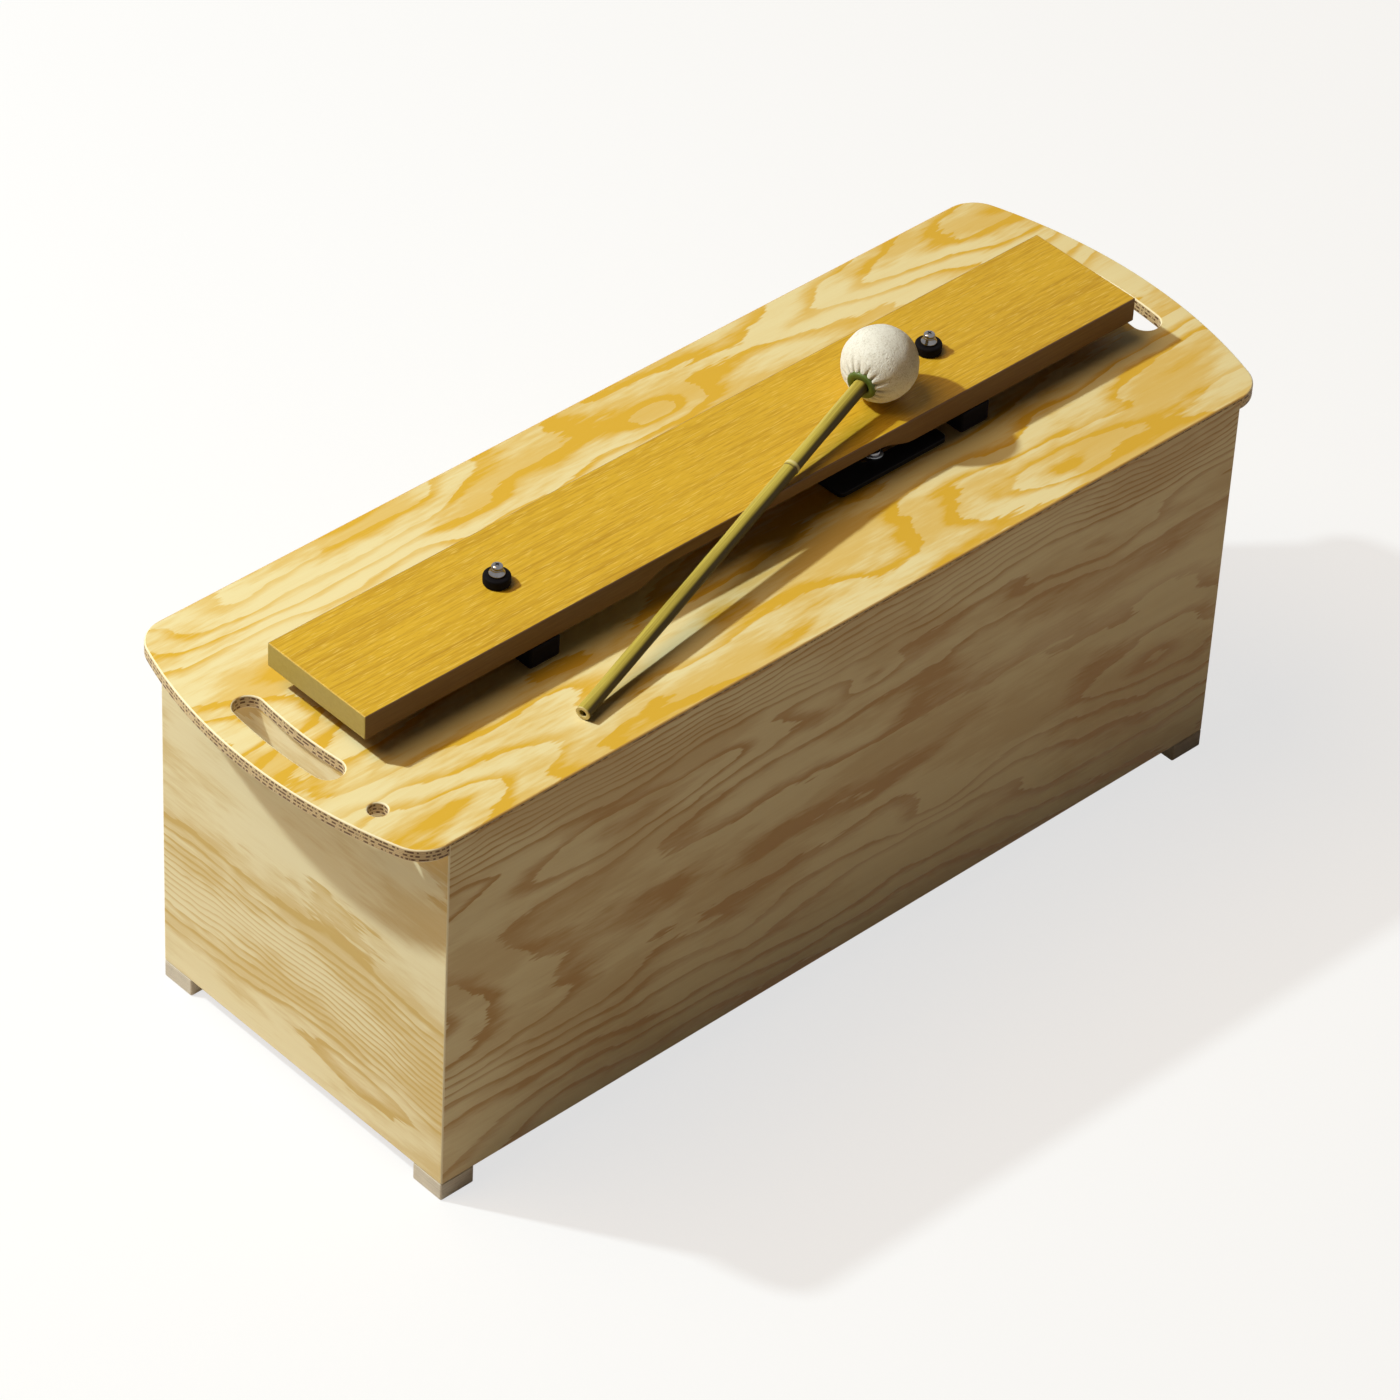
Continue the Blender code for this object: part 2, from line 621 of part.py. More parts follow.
def build_bar():
    mesh = flat_mesh([bar_side_outline()], BAR_WIDTH)
    mesh.transform(Matrix.Rotation(math.pi / 2, 4, "X"))
    bar = mesh_object("tone_bar", mesh, BAR_WOOD, (0, 0, BAR_UNDER))
    soften(bar, BAR_EDGE_BEVEL)
    hole_length = BAR_THICK + 2 * CUT_OVERRUN
    hole = turned_mesh([(0, hole_length), (BUSH_TUBE_RADIUS + FIT, hole_length),
                        (BUSH_TUBE_RADIUS + FIT, 0), (0, 0)], ROUND_STEPS)
    places = [(x, 0, BAR_UNDER - CUT_OVERRUN) for x in BOLT_PLACES.values()]
    cut(bar, mesh_object("bush_holes", repeated_mesh(hole, places), None, collection=CUTTERS))

    seat = BAR_THICK + FIT
    crown = seat + BUSH_FLANGE_HEIGHT
    rounding = BUSH_FLANGE_ROUNDING
    shoulder = arc((BUSH_FLANGE_RADIUS - rounding, crown - rounding), rounding,
                   math.pi / 2, 0.0, DOME_STEPS)
    bush = turned_mesh([(BOLT_BORE_RADIUS, crown)] + shoulder + [
        (BUSH_FLANGE_RADIUS, seat), (BUSH_TUBE_RADIUS, seat), (BUSH_TUBE_RADIUS, 0.0),
        (BOLT_BORE_RADIUS, 0.0),
    ], ROUND_STEPS, closed=True)
    for name, x in BOLT_PLACES.items():
        mesh_object(f"bar_bush_{name}", bush.copy(), RUBBER, (x, 0, BAR_UNDER))


def mallet_slope():
    """The handle's fall in radians: it comes down from the head until it lies on the
    bar's front edge or its end reaches the plate, whichever comes first."""
    head_z = BAR_TOP + FIT + HEAD_RADIUS
    to_plate = math.asin((head_z - PLATE_TOP - FIT - HANDLE_RADIUS) / HANDLE_REACH)
    run = (BAR_WIDTH / 2 + HEAD_Y) / math.sin(HANDLE_SWING)
    drop = HEAD_RADIUS - HANDLE_RADIUS - HANDLE_NODE_RISE
    to_edge = math.atan2(drop, run)
    return min(to_plate, to_edge)


def build_mallet():
    slope = mallet_slope()
    direction = Vector((-math.cos(slope) * math.cos(HANDLE_SWING),
                        -math.cos(slope) * math.sin(HANDLE_SWING),
                        -math.sin(slope)))
    hub = bpy.data.objects.new("mallet_head_centre", None)
    PARTS.objects.link(hub)
    hub.location = (HEAD_X, HEAD_Y, BAR_TOP + FIT + HEAD_RADIUS)
    hub.rotation_mode = "QUATERNION"
    hub.rotation_quaternion = direction.to_track_quat("Z", "Y")

    node_half = HANDLE_NODE_LENGTH / 2
    handle = [
        (HANDLE_BORE_RADIUS, HANDLE_REACH), (HANDLE_RADIUS, HANDLE_REACH),
        (HANDLE_RADIUS, HANDLE_NODE_AT + node_half),
        (HANDLE_RADIUS + HANDLE_NODE_RISE, HANDLE_NODE_AT),
        (HANDLE_RADIUS, HANDLE_NODE_AT - node_half),
        (HANDLE_RADIUS, -HANDLE_INSIDE_HEAD), (0.0, -HANDLE_INSIDE_HEAD),
    ]
    bore = [(0.0, HANDLE_REACH - HANDLE_BORE_DEPTH),
            (HANDLE_BORE_RADIUS, HANDLE_REACH - HANDLE_BORE_DEPTH)]
    mesh_object("mallet_handle", turned_mesh(bore + handle, ROUND_STEPS), CANE, parent=hub)

    grip = HANDLE_RADIUS + FIT
    collar = ring_mesh(COLLAR_RADIUS, grip, COLLAR_START, COLLAR_START + COLLAR_LENGTH,
                       ROUND_STEPS)
    mesh_object("mallet_collar", collar, COLLAR_GREEN, parent=hub)

    core_radius = HEAD_RADIUS - COVER_THICK - FIT
    core_face = COLLAR_START - FIT
    first = math.acos(core_face / core_radius)
    ball = [(core_radius * math.sin(a), core_radius * math.cos(a))
            for a in sweep(first, math.pi, BALL_STEPS)]
    bore_end = -HANDLE_INSIDE_HEAD - FIT
    core = [(0.0, bore_end), (grip, bore_end), (grip, core_face)] + ball
    mesh_object("mallet_core", turned_mesh(core, ROUND_STEPS), CORE_RUBBER, parent=hub)

    mouth = COLLAR_RADIUS + FIT
    inside = HEAD_RADIUS - COVER_THICK
    outer_first = math.asin((mouth + COVER_LIP) / HEAD_RADIUS)
    inner_first = math.asin(mouth / inside)
    outer = [(HEAD_RADIUS * math.sin(a), HEAD_RADIUS * math.cos(a))
             for a in sweep(outer_first, math.pi, BALL_STEPS)]
    inner = [(inside * math.sin(a), inside * math.cos(a))
             for a in sweep(math.pi, inner_first, BALL_STEPS)]
    lip = [(mouth, HEAD_RADIUS * math.cos(outer_first) - COVER_LIP)]
    mesh_object("mallet_cover", turned_mesh(inner + lip + outer, ROUND_STEPS), FELT, parent=hub)


build_top_plate()
build_walls()
build_floor()
build_rests_and_bolts()
build_slider()
build_bar()
build_mallet()
bpy.context.view_layer.update()
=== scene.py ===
import math

import bpy
from mathutils import Matrix, Vector


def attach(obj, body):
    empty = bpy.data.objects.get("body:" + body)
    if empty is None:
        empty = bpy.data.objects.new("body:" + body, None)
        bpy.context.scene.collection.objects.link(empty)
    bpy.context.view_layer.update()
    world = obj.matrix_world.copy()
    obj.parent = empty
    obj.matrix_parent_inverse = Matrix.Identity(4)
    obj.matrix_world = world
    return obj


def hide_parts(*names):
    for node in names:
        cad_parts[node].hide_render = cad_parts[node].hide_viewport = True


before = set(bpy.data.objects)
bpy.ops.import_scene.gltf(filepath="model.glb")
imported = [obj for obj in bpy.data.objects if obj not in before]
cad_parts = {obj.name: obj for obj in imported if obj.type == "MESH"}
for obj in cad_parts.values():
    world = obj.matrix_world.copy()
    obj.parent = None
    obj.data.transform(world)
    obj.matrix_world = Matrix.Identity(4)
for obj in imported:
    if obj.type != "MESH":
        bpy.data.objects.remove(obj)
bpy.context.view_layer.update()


def placed(name, data):
    """A new object in the scene that holds the data."""
    made = bpy.data.objects.new(name, data)
    bpy.context.scene.collection.objects.link(made)
    return made


view_place = Vector((-2.02464, -2.03855, 2.54324))
view_turn = math.radians(44.756)
view_fall = math.radians(40.146)
view_roll = math.radians(3.22)
ahead = Vector((math.sin(view_turn) * math.cos(view_fall),
                math.cos(view_turn) * math.cos(view_fall), -math.sin(view_fall)))
level_right = ahead.cross(Vector((0, 0, 1))).normalized()
level_up = level_right.cross(ahead)
view_right = level_right * math.cos(view_roll) + level_up * math.sin(view_roll)
view_up = level_up * math.cos(view_roll) - level_right * math.sin(view_roll)
camera = placed("view", bpy.data.cameras.new("view"))
camera.data.sensor_width = 36
camera.data.lens = 168.71
camera.data.clip_end = 40
camera.matrix_world = (Matrix.Translation(view_place)
                       @ Matrix((view_right, view_up, -ahead)).transposed().to_4x4())
bpy.context.scene.camera = camera
bpy.context.scene.view_settings.view_transform = "Standard"


# The floor and the light: a pale floor that goes to white in the view and keeps the
# box's shadow, one fairly crisp lamp high at the rear left, a broad warm fill from nearly
# overhead and a very low surround.
class Value:
    """A socket in a node tree. Sums written on it add Math nodes."""

    def __init__(self, nodes, socket):
        self.nodes = nodes
        self.socket = socket

    def sum(self, operation, *terms):
        return self.nodes.node("ShaderNodeMath", {"operation": operation},
                               dict(enumerate(terms)))

    def __add__(self, other):
        return self.sum("ADD", self, other)

    __radd__ = __add__

    def __sub__(self, other):
        return self.sum("SUBTRACT", self, other)

    def __rsub__(self, other):
        return self.sum("SUBTRACT", other, self)

    def __mul__(self, other):
        return self.sum("MULTIPLY", self, other)

    def __truediv__(self, other):
        return self.sum("DIVIDE", self, other)

    def __pow__(self, other):
        return self.sum("POWER", self, other)

    def __abs__(self):
        return self.sum("ABSOLUTE", self)

    def fraction(self):
        return self.sum("FRACT", self)

    def larger(self, other):
        return self.sum("MAXIMUM", self, other)

    def falloff(self):
        """1 where it is 0, falling away softly as it grows."""
        return self.sum("EXPONENT", self * -1)

    def step(self, low, high):
        """0 below low and 1 above high, with a smooth rise between them."""
        return self.nodes.node("ShaderNodeMapRange", {"interpolation_type": "SMOOTHSTEP"},
                               {"Value": self, "From Min": low, "From Max": high})


class Nodes:
    """A node tree and the ways to grow it."""

    def __init__(self, tree):
        self.tree = tree

    def feed(self, made, sockets):
        """Links the values to a node's sockets, or sets them. A list goes into one socket."""
        for key, value in sockets.items():
            place = made.inputs[key]
            if isinstance(value, list):
                for part in value:
                    self.tree.links.new(part.socket, place)
            elif isinstance(value, Value):
                self.tree.links.new(value.socket, place)
            elif place.type == "RGBA" and len(value) == 3:
                place.default_value = (*value, 1)
            else:
                place.default_value = value

    def node(self, kind, settings=None, sockets=None, output=0):
        made = self.tree.nodes.new(kind)
        for key, value in (settings or {}).items():
            setattr(made, key, value)
        self.feed(made, sockets or {})
        return Value(self, made.outputs[output])

    def split(self, vector):
        """The x, y and z of a vector."""
        return [self.node("ShaderNodeSeparateXYZ", None, {0: vector}, axis) for axis in range(3)]

    def place(self):
        """Where a point lies on the object, as its x, y and z."""
        return self.split(self.node("ShaderNodeTexCoord", output="Object"))

    def facing(self):
        """How a point's surface faces, as x, y and z."""
        return self.split(self.node("ShaderNodeTexCoord", output="Normal"))

    def noise(self, x, y, z, detail=2, roughness=0.5):
        """Soft noise round 0.5 at a point that is given in feature sizes."""
        point = self.node("ShaderNodeCombineXYZ", None, {0: x, 1: y, 2: z})
        return self.node("ShaderNodeTexNoise", None,
                         {"Vector": point, "Scale": 1, "Detail": detail,
                          "Roughness": roughness})

    def even_noise(self, point, scale, detail=2, roughness=0.5):
        """The same noise with features of one size all ways."""
        return self.noise(*(axis * scale for axis in point), detail, roughness)

    def mixed(self, share, first, second):
        """From the first colour to the second by share."""
        return self.node("ShaderNodeMix", {"data_type": "RGBA"},
                         {0: share, 6: first, 7: second}, 2)

    def raised(self, height, distance, strength):
        """A relief of that height, as a normal."""
        return self.node("ShaderNodeBump", None,
                         {"Height": height, "Distance": distance, "Strength": strength})

    def background_rays(self):
        """1 for what the view shows itself, in a mirror or through something clear."""
        kinds = ("Is Camera Ray", "Is Glossy Ray", "Is Transmission Ray")
        seen, mirrored, passed = [self.node("ShaderNodeLightPath", output=kind) for kind in kinds]
        return seen.larger(mirrored).larger(passed)


class Finish(Nodes):
    """One finish: a shader and the nodes that feed it."""

    def __init__(self, name, **fixed):
        self.material = bpy.data.materials.new(name)
        self.material.use_nodes = True
        super().__init__(self.material.node_tree)
        self.shader = self.tree.nodes["Principled BSDF"]
        self.feed(self.shader, {key.replace("_", " "): value for key, value in fixed.items()})


UNDER_FEET = -0.0002
floor_mesh = bpy.data.meshes.new("floor")
floor_mesh.from_pydata([(-9, -9, 0), (9, -9, 0), (9, 9, 0), (-9, 9, 0)], [], [(0, 1, 2, 3)])
floor = placed("floor", floor_mesh)
floor.location.z = UNDER_FEET
paper = Finish("floor_paper")
seen_paper = paper.node("ShaderNodeBsdfDiffuse", None, {"Color": (0.93, 0.93, 0.93)})
glow = paper.node("ShaderNodeEmission", None, {"Color": (1, 1, 1), "Strength": 1})
pale = paper.node("ShaderNodeMixShader", None, {0: 0.72, 1: seen_paper, 2: glow})
dim = paper.node("ShaderNodeBsdfDiffuse", None, {"Color": (0.73, 0.65, 0.585)})
floor_look = paper.node("ShaderNodeMixShader", None,
                        {0: paper.background_rays(), 1: dim, 2: pale})
paper.feed(paper.tree.nodes["Material Output"], {"Surface": floor_look})
floor_mesh.materials.append(paper.material)

surround = bpy.data.worlds.new("surround")
surround.use_nodes = True
bpy.context.scene.world = surround
air = Nodes(surround.node_tree)
air_colour = air.mixed(air.background_rays(), (0.026, 0.018, 0.012), (1, 1, 1))
air.feed(air.tree.nodes["Background"], {"Color": air_colour, "Strength": 1})

lamp = placed("lamp", bpy.data.lights.new("lamp", "POINT"))
lamp.location = (-1.197, 1.274, 2.223)
lamp.data.energy = 252
lamp.data.shadow_soft_size = 0.055
lamp.data.color = (0.83, 0.955, 1)
fill = placed("fill", bpy.data.lights.new("fill", "SUN"))
fill.data.energy = 1.42
fill.data.angle = math.radians(38)
fill.data.color = (1, 0.72, 0.41)
fill.rotation_mode = "QUATERNION"
fill.rotation_quaternion = Vector((0.38, -0.32, -0.87)).to_track_quat("-Z", "Y")


# The four walls of the resonator box: 9 mm softwood plywood, mitred and glued at the
# corners with the sharp corner sanded off. The long walls' veneer runs along the bar,
# the end walls' across it. The long walls go up into a rebate of the top plate.
import bmesh
from mathutils.geometry import tessellate_polygon

BOX_LENGTH = 0.602
BOX_WIDTH = 0.24
WALL_THICK = 0.009
WALL_FOOT = 0.0123
PLATE_TOP = 0.2623
PLATE_THICK = 0.0085
PLATE_LIP = 0.0018
GLUE_LINE = 0.0001
WALL_CORNER = 0.0011
WALL_EASE = 0.0005
VENEER_EARLY = (0.82, 0.7, 0.38)
VENEER_GOLD = (0.7, 0.42, 0.036)
# Painted shade: the darker brown line colour stands for veneer lines seen in shade.
VENEER_SHADE_BROWN = (0.49, 0.285, 0.085)
PLY_TAN = (0.68, 0.49, 0.27)
PLY_PORE = (0.13, 0.06, 0.028)
# The pale arris is partly the sanded raw wood and partly a painted highlight.
ARRIS_PALE_AND_HIGHLIGHT = (0.95, 0.87, 0.62)
ARRIS_WARM = (0.6, 0.35, 0.11)


def arc(centre, radius, start, end, steps):
    """Points on an arc, both ends included."""
    return [(centre[0] + radius * math.cos(start + (end - start) * i / steps),
             centre[1] + radius * math.sin(start + (end - start) * i / steps))
            for i in range(steps + 1)]


def inward(outline, is_hole):
    """The outline the right way round, and at each point the way into the material."""
    area = sum(a[0] * b[1] - b[0] * a[1] for a, b in zip(outline, outline[1:] + outline[:1]))
    points = [Vector(p) for p in (outline if (area > 0) != is_hole else outline[::-1])]
    ways = []
    for before, here, after in zip(points[-1:] + points[:-1], points, points[1:] + points[:1]):
        one = (here - before).normalized()
        two = (after - here).normalized()
        square = Vector((-one.y, one.x))
        side = square + Vector((-two.y, two.x))
        ways.append(side * 2 / side.length_squared if side.length > 1e-6 else square)
    return points, ways


def settled(piece):
    """The piece as one plain mesh at the origin, its modifiers worked into it."""
    bpy.context.view_layer.update()
    seen = bpy.context.evaluated_depsgraph_get()
    mesh = bpy.data.meshes.new_from_object(piece.evaluated_get(seen))
    mesh.transform(piece.matrix_world)
    piece.modifiers.clear()
    piece.data = mesh
    piece.matrix_world = Matrix.Identity(4)
    return piece


def dressed(piece, material):
    """Rounded edges shade smoothly, the broad faces stay flat, and the finish goes on."""
    piece.data.shade_smooth()
    piece.data.set_sharp_from_angle(angle=math.radians(38))
    weigh = piece.modifiers.new("flat faces", "WEIGHTED_NORMAL")
    weigh.keep_sharp = True
    settled(piece)
    piece.data.materials.append(material)


def new_piece(name, bm):
    """The mesh as a piece of its own, with its faces turned outwards."""
    bmesh.ops.recalc_face_normals(bm, faces=bm.faces)
    if bm.calc_volume(signed=True) < 0:
        bmesh.ops.reverse_faces(bm, faces=bm.faces)
    mesh = bpy.data.meshes.new(name)
    bm.to_mesh(mesh)
    bm.free()
    return placed(name, mesh)


def spanned(bm, first, second):
    """Faces between two rings of points; a point that fills its ring makes triangles."""
    for i in range(len(first)):
        j = (i + 1) % len(first)
        corners = []
        for corner in (first[i], first[j], second[j], second[i]):
            if corner not in corners:
                corners.append(corner)
        if len(corners) > 2:
            bm.faces.new(corners)


def board(name, outlines, low, high, rounding, turn=None):
    """A flat piece between two levels with eased edges; the outlines after the first
    are openings."""
    steps = [(rounding * (1 - math.cos(a)), rounding * (1 - math.sin(a)))
             for a in (math.pi / 6 * i for i in range(4))] if rounding else [(0, 0)]
    levels = [(inset, low + drop) for inset, drop in reversed(steps)]
    levels += [(inset, high - drop) for inset, drop in steps]
    bm = bmesh.new()
    caps = {0: [], len(levels) - 1: []}
    for number, outline in enumerate(outlines):
        points, ways = inward(outline, number > 0)
        rings = [[bm.verts.new((p.x + w.x * inset, p.y + w.y * inset, z))
                  for p, w in zip(points, ways)] for inset, z in levels]
        for under, over in zip(rings, rings[1:]):
            spanned(bm, under, over)
        for level, loops in caps.items():
            loops.append(rings[level])
    for loops in caps.values():
        flat = [v for loop in loops for v in loop]
        for a, b, c in tessellate_polygon([[v.co for v in loop] for loop in loops]):
            bm.faces.new((flat[a], flat[b], flat[c]))
    piece = new_piece(name, bm)
    if turn:
        piece.data.transform(turn)
    return piece


def veneer(name, along, across, through, start, late, rings, wash, bands=(), swells=(),
           early=VENEER_EARLY, plies=7, top=PLATE_TOP, thick=PLATE_THICK):
    """Rotary-cut softwood plywood under a matt varnish. On the broad faces the growth
    rings are the contours of the log's swells: flames, closed eyes and, in the bands,
    close lines, with ragged golden clouds between them. The edges show the layers."""
    ply = Finish(name, Specular_IOR_Level=0.22)
    point = ply.place()
    u, v, t = point[along], point[across], point[through]
    w = (v + (ply.noise(u * 8, v * 7, start + 9) - 0.5) * 0.02
         + (ply.noise(u * 26, v * 40, start + 3) - 0.5) * 0.006)
    height = ply.noise(u * 4.6, w * 15, start) * rings
    for low, high, count in bands:
        height = height + w.step(low, high) * count
    for at_u, at_v, half_u, half_v, count in swells:
        far_u, far_v = (u - at_u) / half_u, (w - at_v) / half_v
        height = height + (far_u * far_u + far_v * far_v).falloff() * count
    height = (height + (ply.noise(u * 30, v * 120, start + 4) - 0.5) * 0.4
              + (ply.noise(u * 80, v * 620, start + 6, 1) - 0.5) * 0.22)
    ring = height.fraction()
    line = ring.step(0.42, 0.9) * (1 - ring.step(0.925, 1))
    strength = ply.noise(u * 7, v * 22, start + 2).step(0.3, 0.62)
    fibre = ply.noise(u * 26, v * 820, start, 3, 0.6)
    streak = ply.noise(u * 5, v * 75, start + 5)
    ragged = (ply.noise(u * 60, v * 420, start + 8) - 0.5) * 0.22
    cloud = (ply.noise(u * 9, v * 26, start + 7, 3) + ragged).step(0.43, 0.62)
    share = (line ** 1.3 * (0.42 + strength * 0.5) + cloud * wash
             + (fibre - 0.5) * 0.25 + (streak - 0.5) * 0.3 + 0.05)
    face = ply.mixed(share, early, late)

    layer = (top - t) / thick * plies
    within = layer.fraction()
    porous = (layer * 0.5).fraction().step(0.46, 0.54)
    rough = ply.noise(point[0] * 420, point[1] * 420, point[2] * 700)
    pores = ply.noise(point[0] * 430, point[1] * 430, (layer - within) * 7, 1)
    edge = ply.mixed(rough * 0.7, PLY_TAN, VENEER_EARLY)
    edge = ply.mixed(pores.step(0.44, 0.54) * porous * 0.9 + 0.05, edge, PLY_PORE)
    edge = ply.mixed((abs(within - 0.5) * 2).step(0.75, 1) * 0.5, edge, PLY_PORE)

    facing = ply.facing()
    flatness = abs(facing[through])
    arris = flatness.step(0.2, 0.45) * (1 - flatness.step(0.93, 0.998))
    colour = ply.mixed(flatness.step(0.35, 0.55), edge, face)
    # The arris is painted warm brown along the grain and near-white across it: the near-white is
    # partly sanded raw wood, partly a painted highlight.
    across_grain = abs(facing[along]).step(0.03, 0.25)
    colour = ply.mixed(arris * 0.8, colour, ply.mixed(across_grain, ARRIS_WARM, ARRIS_PALE_AND_HIGHLIGHT))
    on_face = flatness.step(0.6, 0.9)
    relief = fibre * on_face + rough * (1 - on_face) * 3
    ply.feed(ply.shader, {"Base Color": colour, "Roughness": 0.6 - line * 0.1 - fibre * 0.1,
                          "Normal": ply.raised(relief, 0.00006, 0.5)})
    return ply.material


def wall_outline(length):
    """A wall from above: outer face on y = 0, mitred ends, rounded outer corners."""
    reach = length / 2 - GLUE_LINE / 2
    corner = arc((reach - WALL_CORNER, WALL_CORNER), WALL_CORNER, -math.pi / 2, -math.pi / 4, 5)
    right = corner + [(reach - WALL_THICK, WALL_THICK)]
    return right + [(-x, y) for x, y in reversed(right)]


walls = {
    "front_wall": (BOX_LENGTH, (0, -BOX_WIDTH / 2), 0, PLATE_TOP - PLATE_LIP),
    "rear_wall": (BOX_LENGTH, (0, BOX_WIDTH / 2), math.pi, PLATE_TOP - PLATE_LIP),
    "left_wall": (BOX_WIDTH, (-BOX_LENGTH / 2, 0), -math.pi / 2, PLATE_TOP - PLATE_THICK),
    "right_wall": (BOX_WIDTH, (BOX_LENGTH / 2, 0), math.pi / 2, PLATE_TOP - PLATE_THICK),
}
figures = {
    # Painted shade: the front wall's lines are a darker brown and its light wood greyer than on
    # the lit walls, the shade it stands in painted into its colours.
    "front_wall": dict(
        start=3.7, late=VENEER_SHADE_BROWN, early=(0.81, 0.7, 0.42), rings=5, wash=0.33,
        bands=[(0.212, 0.27, 10), (0.06, 0.1, 2)],
        swells=[(-0.15, 0.203, 0.125, 0.02, 3.6), (0.19, 0.21, 0.095, 0.016, 2.6),
                (0.012, 0.211, 0.018, 0.007, 1.3), (-0.34, 0.13, 0.13, 0.042, 4.4),
                (-0.04, 0.14, 0.13, 0.03, 2), (0.06, 0.08, 0.045, 0.011, 1.6),
                (-0.1, 0.01, 0.35, 0.03, -3), (0.27, 0.075, 0.09, 0.04, 2.6)]),
    "rear_wall": dict(
        start=12.1, late=(0.6, 0.4, 0.1), rings=6, wash=0.45,
        bands=[(0.01, 0.075, 9)],
        swells=[(0.18, 0.16, 0.12, 0.03, 4.2), (-0.12, 0.19, 0.1, 0.022, 3),
                (-0.3, 0.12, 0.11, 0.04, 3.4)]),
    "left_wall": dict(
        start=21.4, late=(0.62, 0.43, 0.13), early=(0.84, 0.75, 0.475), rings=2.2, wash=0.55,
        bands=[(0.036, 0.13, 15)], swells=[(-0.04, 0.085, 0.045, 0.045, -1.3)]),
    "right_wall": dict(
        start=31.9, late=(0.62, 0.43, 0.13), rings=4, wash=0.5,
        bands=[(0.15, 0.235, 12)],
        swells=[(0.04, 0.09, 0.07, 0.03, 3), (-0.08, 0.2, 0.06, 0.04, 1.5)]),
}
for node, (length, (x, y), turn, wall_top) in walls.items():
    wall = board(f"{node}_board", [wall_outline(length)],
                 WALL_FOOT, wall_top - GLUE_LINE, WALL_EASE,
                 Matrix.Translation((x, y, 0)) @ Matrix.Rotation(turn, 4, "Z"))
    along, through = (0, 1) if length == BOX_LENGTH else (1, 0)
    dressed(wall, veneer(f"{node}_veneer", along, 2, through, **figures[node]))
    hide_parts(node)
    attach(wall, "sound_box")

# The bottom panel is thinner plywood let in between the walls. Two pine cleats carry
# its screws, and a pine post is glued into each corner. They keep the CAD's shapes.
LEFT_RIGHT = (("left", -1), ("right", 1))
FRONT_REAR = (("front", -1), ("rear", 1))
PANEL_TOP = 0.0183
PANEL_THICK = 0.006
PINE_PALE = (0.74, 0.55, 0.3)
PINE_DARK = (0.55, 0.33, 0.13)


def pine(name, along, start):
    """Planed pine, with its growth lines along the batten."""
    wood = Finish(name, Roughness=0.62)
    point = wood.place()
    u = point[along]
    v, w = [p for axis, p in enumerate(point) if axis != along]
    ring = ((v * 0.8 + w * 0.6) * 420 + wood.noise(u * 5, v * 30, start) * 3).fraction()
    fibre = wood.noise(u * 40, v * 900, w * 900)
    share = ring.step(0.2, 0.9) * (1 - ring.step(0.9, 1)) * 0.6 + (fibre - 0.5) * 0.4
    wood.feed(wood.shader, {"Base Color": wood.mixed(share, PINE_PALE, PINE_DARK),
                            "Roughness": 0.7 - fibre * 0.15,
                            "Normal": wood.raised(fibre, 0.00005, 0.5)})
    return wood.material


# The bottom panel also takes the darker brown lines used as painted shade.
panel_veneer = veneer("bottom_panel_veneer", 0, 1, 2, 44.2, VENEER_SHADE_BROWN, 10, 0.4,
                      plies=3, top=PANEL_TOP, thick=PANEL_THICK)
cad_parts["bottom_panel"].material_slots[0].material = panel_veneer
cleat_pine = pine("cleat_pine", 0, 2)
post_pine = pine("post_pine", 2, 6)
for edge, _ in FRONT_REAR:
    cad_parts[f"bottom_cleat_{edge}"].material_slots[0].material = cleat_pine
    for side, _ in LEFT_RIGHT:
        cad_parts[f"corner_post_{edge}_{side}"].material_slots[0].material = post_pine

# The feet: four square blocks of pressed grey board, flush with the walls' corners, each
# held by a screw that goes up through the bottom panel into its corner post.
FOOT_SIZE = 0.024
FOOT_HEIGHT = 0.012
FOOT_CORNER = 0.0012
FOOT_EASE = 0.0008
FOOT_SCREW_IN = 0.0183
SCREW_HEAD_RADIUS = 0.0036
SCREW_ROOM = 0.0003
SCREW_SINK = 0.003


def circle(centre, radius, steps):
    return arc(centre, radius, 0, 2 * math.pi, steps)[:-1]


def rounded_rectangle(centre, length, width, radius, steps):
    points = []
    for turn, (sx, sy) in enumerate(((1, 1), (-1, 1), (-1, -1), (1, -1))):
        corner = (centre[0] + sx * (length / 2 - radius), centre[1] + sy * (width / 2 - radius))
        points += arc(corner, radius, turn * math.pi / 2, (turn + 1) * math.pi / 2, steps)
    return points


